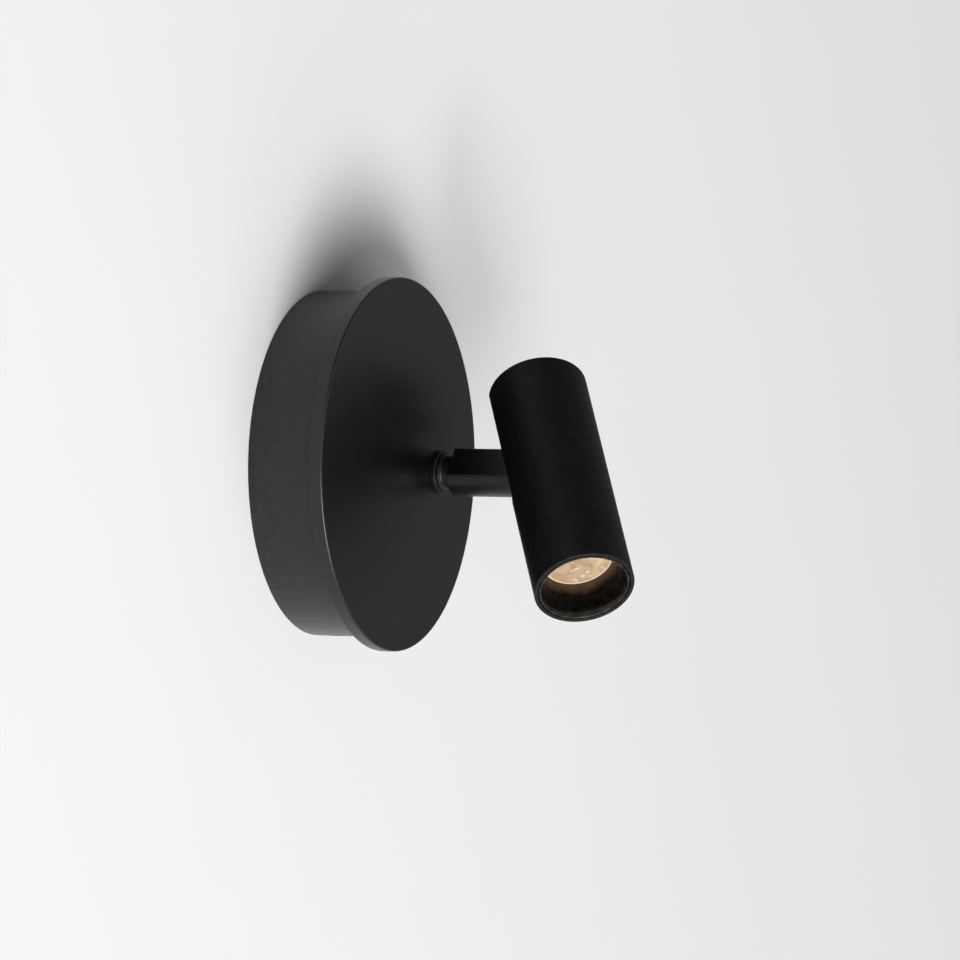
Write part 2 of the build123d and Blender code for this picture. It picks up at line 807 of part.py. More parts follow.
def pivot_pin():
    half = sqrt(plug_radius ** 2 - pin_radius ** 2) - pin_inset
    pin = Rot(Y=90) * Cylinder(pin_radius, 2 * half)
    pin = chamfer(pin.edges().filter_by(GeomType.CIRCLE), pin_chamfer)
    return on_head(pin)


def friction_washers():
    inner = pin_radius + seat_gap
    outer_face = slot_half + friction_washer_recess
    washers = []
    for side in (1, -1):
        washer = Cylinder(friction_washer_radius, friction_washer_thickness)
        washer -= Cylinder(inner, friction_washer_thickness + over_cut)
        middle = side * (outer_face - friction_washer_thickness / 2)
        washers.append(on_head(Pos(middle, 0, 0) * Rot(Y=90) * washer))
    return washers


def heat_sink():
    """A finned core with a thick flange under the light board."""
    core = turned_along([
        (0, yoke_front),
        (plug_radius, yoke_front),
        (plug_radius, yoke_front + sink_rear_flange),
        (sink_core_radius, yoke_front + sink_rear_flange),
        (sink_core_radius, sink_front - sink_front_flange),
        (plug_radius, sink_front - sink_front_flange),
        (plug_radius, sink_front),
        (0, sink_front),
    ])
    fin_length = sink_length - sink_rear_flange - sink_front_flange
    fin_middle = (yoke_front + sink_rear_flange + sink_front - sink_front_flange) / 2
    reach = plug_radius - plug_gap
    inner = sink_core_radius - sink_fin_root
    for index in range(sink_fin_count):
        fin = Box(reach - inner, sink_fin_thickness, fin_length)
        turn = (index + 0.5) * 360 / sink_fin_count
        core += Rot(Z=turn) * Pos((reach + inner) / 2, 0, -fin_middle) * fin
    rear = yoke_front - over_cut
    front = sink_front + over_cut
    core -= post_along(lead_hole_radius, rear, front, (0, -lead_hole_offset))
    for side in (1, -1):
        place = (side * sink_screw_orbit, 0)
        core -= post_along(sink_screw_radius + seat_gap, rear, front, place)
        well = sink_screw_radius * head_radius_share + seat_gap
        core -= post_along(well, sink_screw_seat(), front, place)
    for place in board_screw_places():
        core -= post_along(board_screw_radius, board_front - board_screw_length, front, place)
    hole = Rot(X=90) * Cylinder(tube_screw_radius + seat_gap, 2 * tube_screw_length)
    core -= Pos(0, head_radius - plug_gap - seat_gap, -tube_screw_distance()) * hole
    return on_head(core)


def sink_screw_seat():
    """A sink screw's head lies just below the heat sink's front face."""
    return sink_front - 2 * sink_screw_radius * head_height_share - seat_gap


def sink_screws():
    seat = sink_screw_seat()
    length = seat - (yoke_front - sink_screw_bite)
    screws = []
    for side in (1, -1):
        screw = Rot(X=180) * pan_screw(sink_screw_radius, length)
        screws.append(on_head(Pos(side * sink_screw_orbit, 0, -seat) * screw))
    return screws


def tube_screw():
    """The hidden grub screw that fixes the tube to the heat sink, on the wall side."""
    screw = Rot(X=-90) * grub_screw(tube_screw_radius, tube_screw_length)
    return on_head(Pos(0, head_radius - plug_gap, -tube_screw_distance()) * screw)


def head_lead():
    points = [
        (0, -lead_hole_offset, -(slot_end + moving_gap)),
        (0, -lead_hole_offset, -(board_front + seat_gap)),
    ]
    return on_head(lead_along("head_lead", points))


def board_screw_places():
    share = board_screw_orbit / sqrt(2)
    return [(share, share), (-share, -share)]


def led_board():
    board = post_along(led_board_radius, sink_front, board_front)
    rear = sink_front - over_cut
    front = board_front + over_cut
    board -= post_along(lead_radius + seat_gap, rear, front, (0, -lead_hole_offset))
    for place in board_screw_places():
        board -= post_along(board_screw_radius + seat_gap, rear, front, place)
    return on_head(board)


def board_screws():
    screws = []
    for across, back in board_screw_places():
        screw = Rot(X=180) * pan_screw(board_screw_radius, board_screw_length)
        screws.append(on_head(Pos(across, back, -board_front) * screw))
    return screws


def led_chip():
    chip = Pos(0, 0, -(board_front + chip_thickness / 2)) * Box(chip_side, chip_side, chip_thickness)
    top = board_front + chip_thickness
    chip += post_along(phosphor_radius, top, top + phosphor_height)
    return on_head(chip)


def lens_holder():
    seat = holder_front - lens_rim_thickness
    bore = lens_radius - lens_shoulder
    rim = lens_radius + seat_gap
    return on_head(turned_along([
        (bore, board_front),
        (holder_radius, board_front),
        (holder_radius, holder_front),
        (rim, holder_front),
        (rim, seat),
        (bore, seat),
    ]))


def lens():
    """A collimating lens: a flat front with a rim, a cone behind it and a cup over the chip."""
    seat = holder_front - lens_rim_thickness
    rear = board_front + lens_rear_gap
    waist = lens_radius - 2 * lens_shoulder
    return on_head(turned_along([
        (0, rear + lens_cup_depth),
        (lens_cup_radius, rear + lens_cup_depth),
        (lens_cup_radius, rear),
        (lens_rear_radius, rear),
        (waist, seat),
        (lens_radius, seat),
        (lens_radius, holder_front),
        (0, holder_front),
    ]))


def baffle():
    """The matt cone between the lens and the front ring, with a flange at each end."""
    throat = lens_radius - baffle_lip
    mouth = plug_radius - baffle_mouth_inset
    return on_head(turned_along([
        (throat, holder_front),
        (holder_radius, holder_front),
        (holder_radius, holder_front + baffle_flange),
        (throat + baffle_wall, holder_front + baffle_flange),
        (mouth + baffle_wall / 2, baffle_front - baffle_flange),
        (plug_radius, baffle_front - baffle_flange),
        (plug_radius, baffle_front),
        (mouth, baffle_front),
    ]))


def front_ring():
    inner = plug_radius - front_ring_wall
    front = baffle_front + front_ring_depth
    return on_head(turned_along([
        (inner, baffle_front),
        (plug_radius, baffle_front),
        (plug_radius, front - front_ring_chamfer),
        (plug_radius - front_ring_chamfer, front),
        (inner + front_ring_chamfer, front),
        (inner, front - front_ring_chamfer),
    ]))


sub_parts = [
    wall_bracket, cable_grommet, earth_screw, terminal_block, terminal_screws,
    driver_case, driver_cover, driver_board, driver_screws, input_lead, output_lead,
    base_cup, side_screws, front_lid, lid_screws, swivel_collar, stop_pin,
    swivel_stem, thrust_washer, stop_washer, disc_spring, swivel_nut, arm, arm_lead,
    head_tube, pivot_yoke, pivot_pin, friction_washers, heat_sink, sink_screws,
    tube_screw, head_lead, led_board, board_screws, led_chip, lens_holder, lens,
    baffle, front_ring,
]

os.makedirs("parts", exist_ok=True)
for sub_part in sub_parts:
    shape = sub_part()
    if isinstance(shape, list):
        shape = Compound(children=shape)
    export_step(shape, f"parts/{sub_part.__name__}.step")
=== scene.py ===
import json
from math import cos, pi, radians, sin

import bmesh
import bpy
import numpy as np
from mathutils import Matrix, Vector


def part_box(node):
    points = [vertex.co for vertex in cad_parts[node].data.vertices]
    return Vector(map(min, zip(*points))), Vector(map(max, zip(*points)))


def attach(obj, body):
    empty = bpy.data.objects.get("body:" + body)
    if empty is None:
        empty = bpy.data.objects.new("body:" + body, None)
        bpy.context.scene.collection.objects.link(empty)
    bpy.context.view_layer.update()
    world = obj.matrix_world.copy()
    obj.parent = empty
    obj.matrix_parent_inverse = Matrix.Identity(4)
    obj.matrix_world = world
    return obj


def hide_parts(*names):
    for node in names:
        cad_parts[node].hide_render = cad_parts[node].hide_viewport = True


# A pivoting spotlight on a wall, dressed for one still. Sizes are in millimetres and become metres in the mesh.
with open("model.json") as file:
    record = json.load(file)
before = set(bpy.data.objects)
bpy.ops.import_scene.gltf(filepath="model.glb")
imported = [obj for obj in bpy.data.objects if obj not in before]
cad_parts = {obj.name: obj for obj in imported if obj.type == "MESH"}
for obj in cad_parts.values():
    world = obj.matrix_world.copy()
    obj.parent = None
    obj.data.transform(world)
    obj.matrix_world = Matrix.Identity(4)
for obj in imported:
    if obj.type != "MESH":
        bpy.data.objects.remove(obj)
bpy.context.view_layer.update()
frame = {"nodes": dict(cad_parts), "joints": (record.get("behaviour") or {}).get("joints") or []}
print("frame loaded:", len(frame["nodes"]), "nodes")

mm = 0.001
joints = {joint["name"]: joint for joint in frame["joints"]}


# Places and directions

restPose = {"tilt": 25.3}       # the head's tilt out from the wall at rest, in degrees

outward = np.array([0.0, -1.0, 0.0])
swivelPoint = np.array(joints["arm_swivel"]["pos_m"]) / mm
tiltPoint = np.array(joints["head_tilt"]["pos_m"]) / mm
tiltAcross = -np.array(joints["head_tilt"]["axis"])
armUp = np.cross(outward, tiltAcross)
tilt = radians(restPose["tilt"])
headForward = -(armUp * cos(tilt) - outward * sin(tilt))     # along the head, towards its mouth
headWallSide = -outward * cos(tilt) - armUp * sin(tilt)      # across the head, towards the wall


def lineFrame(origin, along, side):
    # A line to turn or push shapes along: its start, its direction and two directions square to it.
    along = np.asarray(along, float)
    side = np.asarray(side, float)
    return {"origin": np.asarray(origin, float), "along": along, "side": side, "other": np.cross(along, side)}


baseLine = lineFrame([0, 0, 0], outward, [1, 0, 0])
armLine = lineFrame([swivelPoint[0], 0, swivelPoint[2]], outward, tiltAcross)
headLine = lineFrame(tiltPoint, headForward, tiltAcross)


def placed(line, first, second, along):
    # Point = origin + first * side + second * other + along * direction.
    first, second, along = np.broadcast_arrays(first, second, along)
    return (line["origin"] + first[..., None] * line["side"] + second[..., None] * line["other"]
            + along[..., None] * line["along"])


# Mesh making

def meshPiece(name, points, faces):
    # Millimetre points and equal-sided faces, written as whole arrays; then doubles merged and normals turned out.
    faces = np.asarray(faces)
    mesh = bpy.data.meshes.new(name)
    mesh.vertices.add(len(points))
    mesh.vertices.foreach_set("co", (np.asarray(points) * mm).astype(np.float32).ravel())
    mesh.loops.add(faces.size)
    mesh.loops.foreach_set("vertex_index", faces.astype(np.int32).ravel())
    mesh.polygons.add(len(faces))
    mesh.polygons.foreach_set("loop_start", np.arange(0, faces.size, faces.shape[1], dtype=np.int32))
    mesh.update(calc_edges=True)
    mesh.validate()
    cleanMesh(mesh)
    piece = bpy.data.objects.new(name, mesh)
    bpy.context.scene.collection.objects.link(piece)
    return piece


def cleanMesh(mesh, mergeDistance=0.0005, flatAngle=None):
    # Merges points that coincide, joins flat neighbours if asked, and turns the normals outwards.
    shape = bmesh.new()
    shape.from_mesh(mesh)
    bmesh.ops.remove_doubles(shape, verts=shape.verts, dist=mergeDistance * mm)
    bmesh.ops.dissolve_degenerate(shape, edges=shape.edges, dist=mergeDistance * mm / 5)
    if flatAngle:
        bmesh.ops.dissolve_limit(shape, angle_limit=radians(flatAngle), verts=shape.verts, edges=shape.edges)
    bmesh.ops.recalc_face_normals(shape, faces=shape.faces)
    shape.to_mesh(mesh)
    shape.free()


def gridQuads(rows, columns, closedRows, closedColumns):
    # Each cell of the grid is a quad; a closed direction joins its last line to its first.
    index = np.arange(rows * columns).reshape(rows, columns)
    if closedRows:
        index = np.vstack([index, index[:1]])
    if closedColumns:
        index = np.hstack([index, index[:, :1]])
    return np.stack([index[:-1, :-1], index[1:, :-1], index[1:, 1:], index[:-1, 1:]], -1).reshape(-1, 4)


def roundedCorners(corners, radius, steps=4, closed=True):
    # Every corner becomes an arc tangent to its two sides. The arc starts radius * tan(half the turn) before the
    # corner, and runs between its two end rays as a weighted sum of them with sine weights.
    corners = np.asarray(corners, float)
    radius = np.broadcast_to(np.asarray(radius, float), len(corners)).copy()
    if not closed:
        radius[[0, -1]] = 0
    before = np.roll(corners, 1, 0) - corners
    after = np.roll(corners, -1, 0) - corners
    lengthBefore = np.linalg.norm(before, axis=1)
    lengthAfter = np.linalg.norm(after, axis=1)
    before /= lengthBefore[:, None]
    after /= lengthAfter[:, None]
    turn = pi - np.arccos(np.clip((before * after).sum(1), -1, 1))
    leastTurn = 0.01       # in radians, so that the arc of a nearly straight corner still has a middle
    mostOfSide = 0.48      # the part of a side that one arc may take up
    turn = np.clip(turn, leastTurn, pi - leastTurn)
    reach = np.minimum(radius * np.tan(turn / 2), mostOfSide * np.minimum(lengthBefore, lengthAfter))
    arcRadius = reach / np.tan(turn / 2)
    bisector = before + after
    bisector /= np.linalg.norm(bisector, axis=1)[:, None]
    centre = corners + bisector * (arcRadius / np.cos(turn / 2))[:, None]
    firstRay = corners + before * reach[:, None] - centre
    lastRay = corners + after * reach[:, None] - centre
    share = np.linspace(0, 1, steps + 1)[None, :, None]
    angle = turn[:, None, None]
    arc = (np.sin((1 - share) * angle) * firstRay[:, None] + np.sin(share * angle) * lastRay[:, None]) / np.sin(angle)
    return (centre[:, None] + arc).reshape(-1, 2)


def turnedPiece(name, line, profile, rounding=0.2, steps=160, cornerSteps=4, closed=True):
    # A profile of (radius, distance along the line) corners, rounded, turned right round the line:
    # point = origin + radius * cos(angle) * side + radius * sin(angle) * other + distance * direction.
    outline = roundedCorners(profile, rounding, cornerSteps, closed)
    angle = np.arange(steps) * 2 * pi / steps
    radius = outline[:, 0][:, None]
    points = placed(line, radius * np.cos(angle), radius * np.sin(angle), outline[:, 1][:, None])
    return meshPiece(name, points.reshape(-1, 3), gridQuads(len(outline), steps, closed, True))


def boxPiece(name, line, low, high):
    # A plain box between two corners in the line's own directions, used to cut with.
    low, high = np.asarray(low, float), np.asarray(high, float)
    corner = np.array([[x, y, z] for x in (0, 1) for y in (0, 1) for z in (0, 1)])
    spot = low + corner * (high - low)
    faces = [[0, 1, 3, 2], [4, 6, 7, 5], [0, 4, 5, 1], [2, 3, 7, 6], [0, 2, 6, 4], [1, 5, 7, 3]]
    return meshPiece(name, placed(line, spot[:, 0], spot[:, 1], spot[:, 2]), faces)


def outlinePiece(name, line, outline, start, end):
    # A closed outline of (side, other) points pushed along the line between two distances, capped at both ends.
    outline = np.asarray(outline, float)
    centre = outline.mean(0)
    rings = np.stack([centre + (outline - centre) * share for share in (0, 1, 1, 0)])
    along = np.array([start, start, end, end])[:, None]
    points = placed(line, rings[..., 0], rings[..., 1], along)
    return meshPiece(name, points.reshape(-1, 3), gridQuads(4, len(outline), False, True))


def applied(piece):
    # Writes the piece's modifiers into its mesh.
    bpy.context.view_layer.update()
    seen = piece.evaluated_get(bpy.context.evaluated_depsgraph_get())
    mesh = bpy.data.meshes.new_from_object(seen)
    piece.modifiers.clear()
    piece.data = mesh


def cutAway(piece, *cutters):
    # Takes each cutter's solid out of the piece, and removes the cutter.
    for cutter in cutters:
        modifier = piece.modifiers.new("cut", "BOOLEAN")
        modifier.operation = "DIFFERENCE"
        modifier.solver = "EXACT"
        modifier.object = cutter
        applied(piece)
        bpy.data.objects.remove(cutter)
    cleanMesh(piece.data)


def softenEdges(piece, width, sharper, segments=3):
    # Rounds every edge that turns more than the given angle.
    modifier = piece.modifiers.new("soften", "BEVEL")
    modifier.width = width * mm
    modifier.segments = segments
    modifier.limit_method = "ANGLE"
    modifier.angle_limit = radians(sharper)
    modifier.use_clamp_overlap = True
    modifier.harden_normals = False
    applied(piece)


def smoothNormals(piece, sharper=50):
    # Smooth shading whose normals lean on the large faces, so that flats stay flat beside their round edges. An edge
    # that turns more than the given angle stays sharp.
    piece.data.polygons.foreach_set("use_smooth", np.ones(len(piece.data.polygons), bool))
    piece.data.set_sharp_from_angle(angle=radians(sharper))
    modifier = piece.modifiers.new("normals", "WEIGHTED_NORMAL")
    modifier.mode = "FACE_AREA"
    modifier.weight = 50
    modifier.keep_sharp = True
    applied(piece)


def markEdges(piece, edgeRadius=0.35, shortest=0.02):
    # Stores how convex the surface is at each point: the mean over its edges of the change in normal along the edge,
    # divided by the edge's length or the shortest that counts, times the radius that counts as fully sharp.
    mesh = piece.data
    count = len(mesh.vertices)
    co = np.empty(count * 3, np.float32)
    mesh.vertices.foreach_get("co", co)
    co = co.reshape(-1, 3).astype(float)
    normal = np.empty(count * 3, np.float32)
    mesh.vertex_normals.foreach_get("vector", normal)
    normal = normal.reshape(-1, 3).astype(float)
    pair = np.empty(len(mesh.edges) * 2, np.int32)
    mesh.edges.foreach_get("vertices", pair)
    first, second = pair.reshape(-1, 2).T
    step = co[second] - co[first]
    length = np.maximum(np.linalg.norm(step, axis=1), shortest * mm)
    bend = ((normal[second] - normal[first]) * step).sum(1) / length ** 2
    total = np.bincount(first, bend, count) + np.bincount(second, bend, count)
    number = np.bincount(first, minlength=count) + np.bincount(second, minlength=count)
    convex = np.clip(total / np.maximum(number, 1) * edgeRadius * mm, 0, 1)
    mesh.attributes.new("edge", "FLOAT", "POINT").data.foreach_set("value", convex.astype(np.float32))


def finishPiece(piece, body, nodes, finish):
    # The last steps for each piece: normals, edge marks, finish, and the CAD nodes that it stands for.
    smoothNormals(piece)
    markEdges(piece)
    piece.data.materials.clear()
    piece.data.materials.append(materials[finish])
    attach(piece, body)
    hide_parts(*nodes)
    print("made", piece.name, len(piece.data.polygons), "faces")


# Shader groups

def addNode(tree, kind, inputs=None, **settings):
    # A shader node with its settings. Each input takes a number, or a link from another node's socket.
    node = tree.nodes.new(kind)
    for name, value in settings.items():
        setattr(node, name, value)
    for name, value in (inputs or {}).items():
        socket = node.inputs[name]
        if isinstance(value, bpy.types.NodeSocket):
            tree.links.new(value, socket)
        else:
            socket.default_value = value
    return node


def maths(tree, operation, *values, clamp=False):
    # One sum on numbers or sockets.
    return addNode(tree, "ShaderNodeMath", dict(enumerate(values)), operation=operation, use_clamp=clamp).outputs[0]


def vectorMaths(tree, operation, *values):
    # One sum on vectors, which gives a vector, or a number for a dot product or a length.
    outputs = addNode(tree, "ShaderNodeVectorMath", dict(enumerate(values)), operation=operation).outputs
    return outputs["Value" if operation in ("DOT_PRODUCT", "LENGTH") else "Vector"]


def ranged(tree, value, start, end, low=0.0, high=1.0, curve="LINEAR"):
    # Goes from low to high as the value goes from start to end, and no further.
    inputs = {"Value": value, "From Min": start, "From Max": end, "To Min": low, "To Max": high}
    return addNode(tree, "ShaderNodeMapRange", inputs, interpolation_type=curve).outputs[0]


def objectSpot(tree):
    # The place on the piece, in metres.
    return addNode(tree, "ShaderNodeTexCoord").outputs["Object"]


def noise(tree, spot, scale, detail, roughness=0.5, distortion=0.0):
    # Blender's noise at a spot, between 0 and 1.
    inputs = {"Vector": spot, "Scale": scale, "Detail": detail, "Roughness": roughness, "Distortion": distortion}
    return addNode(tree, "ShaderNodeTexNoise", inputs).outputs["Fac"]


def newGroup(name, inputs, outputs):
    # An empty node group with named number inputs {name: value} and outputs. It returns the tree, the sockets of its
    # inputs and those of its outputs.
    group = bpy.data.node_groups.new(name, "ShaderNodeTree")
    for label, value in inputs.items():
        group.interface.new_socket(label, in_out="INPUT", socket_type="NodeSocketFloat").default_value = value
    for label in outputs:
        group.interface.new_socket(label, in_out="OUTPUT", socket_type="NodeSocketFloat")
    return group, group.nodes.new("NodeGroupInput").outputs, group.nodes.new("NodeGroupOutput").inputs


def makeGrainGroup():
    # Fine grain for bump, and a slow mottle. Roughness = level + spread * (grain + mottle - 1).
    group, into, out = newGroup(
        "surfaceGrain", {"Grain Scale": 3000.0, "Mottle Scale": 60.0, "Roughness": 0.5, "Roughness Spread": 0.08},
        ["Roughness", "Height", "Mottle"])
    spot = objectSpot(group)
    grain = noise(group, spot, into["Grain Scale"], 2.0, 0.55)
    mottle = noise(group, spot, into["Mottle Scale"], 5.0, 0.6)
    centred = maths(group, "SUBTRACT", maths(group, "ADD", grain, mottle), 1.0)
    swing = maths(group, "MULTIPLY_ADD", centred, into["Roughness Spread"], into["Roughness"])
    kept = addNode(group, "ShaderNodeClamp", {"Value": swing, "Min": 0.03, "Max": 1.0}).outputs[0]
    group.links.new(kept, out["Roughness"])
    group.links.new(grain, out["Height"])
    group.links.new(mottle, out["Mottle"])
    return group


def makeWearGroup():
    # The finish is rubbed where the stored edge mark is strong and a noise breaks it up.
    group, into, out = newGroup("edgeWear", {"Amount": 0.5, "Break Scale": 400.0}, ["Mask"])
    edge = addNode(group, "ShaderNodeAttribute", attribute_name="edge", attribute_type="GEOMETRY").outputs["Fac"]
    broken = noise(group, objectSpot(group), into["Break Scale"], 4.0, 0.65)
    mask = maths(group, "MULTIPLY", edge, ranged(group, broken, 0.4, 0.62))
    group.links.new(maths(group, "MULTIPLY", mask, into["Amount"], clamp=True), out["Mask"])
    return group


def makeDustGroup():
    # Dust lies in soft patches where the surface faces up.
    group, into, out = newGroup("restingDust", {"Amount": 0.1, "Patch Scale": 90.0}, ["Mask"])
    normal = addNode(group, "ShaderNodeNewGeometry").outputs["Normal"]
    height = addNode(group, "ShaderNodeSeparateXYZ", {0: normal}).outputs["Z"]
    patch = noise(group, objectSpot(group), into["Patch Scale"], 7.0, 0.7)
    mask = maths(group, "MULTIPLY", ranged(group, height, 0.25, 0.95), ranged(group, patch, 0.35, 0.75))
    group.links.new(maths(group, "MULTIPLY", mask, into["Amount"], clamp=True), out["Mask"])
    return group


def makeSpeckGroup():
    # Specks are the middles of the few Voronoi cells whose random value is high. Hair scratches are thin bands where
    # a stretched noise passes its middle value, in some places only. The mask is the greater of the two.
    group, into, out = newGroup(
        "specksAndScratches", {"Amount": 0.1, "Speck Scale": 700.0, "Scratch Scale": 60.0}, ["Mask"])
    spot = objectSpot(group)
    cells = addNode(group, "ShaderNodeTexVoronoi", {"Vector": spot, "Scale": into["Speck Scale"]}).outputs
    chosen = addNode(group, "ShaderNodeSeparateColor", {0: cells["Color"]}).outputs[0]
    near = ranged(group, cells["Distance"], 0.12, 0.22, 1.0, 0.0)
    speck = maths(group, "MULTIPLY", ranged(group, chosen, 0.93, 0.98), near)
    stretched = addNode(group, "ShaderNodeMapping",
                        {"Vector": spot, "Rotation": (0.6, 0.4, 0.9), "Scale": (1.0, 14.0, 1.6)}).outputs[0]
    bands = noise(group, stretched, into["Scratch Scale"], 2.0, distortion=0.4)
    offMiddle = maths(group, "ABSOLUTE", maths(group, "SUBTRACT", bands, 0.5))
    places = ranged(group, noise(group, spot, 35.0, 2.0), 0.5, 0.62)
    scratch = maths(group, "MULTIPLY", ranged(group, offMiddle, 0.0, 0.004, 0.5, 0.0), places)
    both = maths(group, "MAXIMUM", speck, scratch)
    group.links.new(maths(group, "MULTIPLY", both, into["Amount"], clamp=True), out["Mask"])
    return group


grainGroup = makeGrainGroup()
wearGroup = makeWearGroup()
dustGroup = makeDustGroup()
speckGroup = makeSpeckGroup()


def placeGroup(tree, group, values):
    # A node group placed in a material with its own values.
    node = addNode(tree, "ShaderNodeGroup", node_tree=group)
    for name, value in values.items():
        node.inputs[name].default_value = value
    return node.outputs


def mixColours(tree, mask, first, second):
    # Colour = first where the mask is 0, second where it is 1.
    mix = tree.nodes.new("ShaderNodeMix")
    mix.data_type = "RGBA"
    firstSocket, secondSocket = 6, 7      # the two colour inputs among those of all kinds
    for socket, value in ((mix.inputs[firstSocket], first), (mix.inputs[secondSocket], second)):
        if isinstance(value, bpy.types.NodeSocket):
            tree.links.new(value, socket)
        else:
            socket.default_value = (*value, 1)
    tree.links.new(mask, mix.inputs[0])
    return mix.outputs[2]


def newMaterial(name):
    # A material, its tree and its Principled shader.
    material = bpy.data.materials.new(name)
    material.use_nodes = True
    return material, material.node_tree, material.node_tree.nodes["Principled BSDF"]


def linkBump(tree, shader, height, strength, depth):
    # Tips the shader's normal by the slope of a height pattern.
    bump = addNode(tree, "ShaderNodeBump", {"Height": height, "Strength": strength, "Distance": depth})
    tree.links.new(bump.outputs["Normal"], shader.inputs["Normal"])


def surfaceMaterial(name, look):
    # One finish: a mottled colour, rubbed edges, resting dust, specks, and a grain that moves roughness and bump.
    material, tree, shader = newMaterial(name)
    for socket, value in look.get("fixed", {}).items():
        shader.inputs[socket].default_value = value
    grain = placeGroup(tree, grainGroup, {
        "Grain Scale": look["grainScale"], "Mottle Scale": look["mottleScale"],
        "Roughness": look["roughness"], "Roughness Spread": look["roughnessSpread"]})
    tree.links.new(grain["Roughness"], shader.inputs["Roughness"])
    colour = mixColours(tree, grain["Mottle"], look["colour"], look["mottleColour"])
    if look.get("wear"):
        wear = placeGroup(tree, wearGroup, {"Amount": look["wear"]})
        colour = mixColours(tree, wear["Mask"], colour, look["wearColour"])
    if look.get("dust"):
        dust = placeGroup(tree, dustGroup, {"Amount": look["dust"]})
        colour = mixColours(tree, dust["Mask"], colour, dustColour)
    if look.get("specks"):
        specks = placeGroup(tree, speckGroup, {"Amount": look["specks"]})
        colour = mixColours(tree, specks["Mask"], colour, speckColour)
    tree.links.new(colour, shader.inputs["Base Color"])
    linkBump(tree, shader, grain["Height"], look["bump"], look["bumpDepth"] * mm)
    material.diffuse_color = (*look["colour"], 1)
    return material


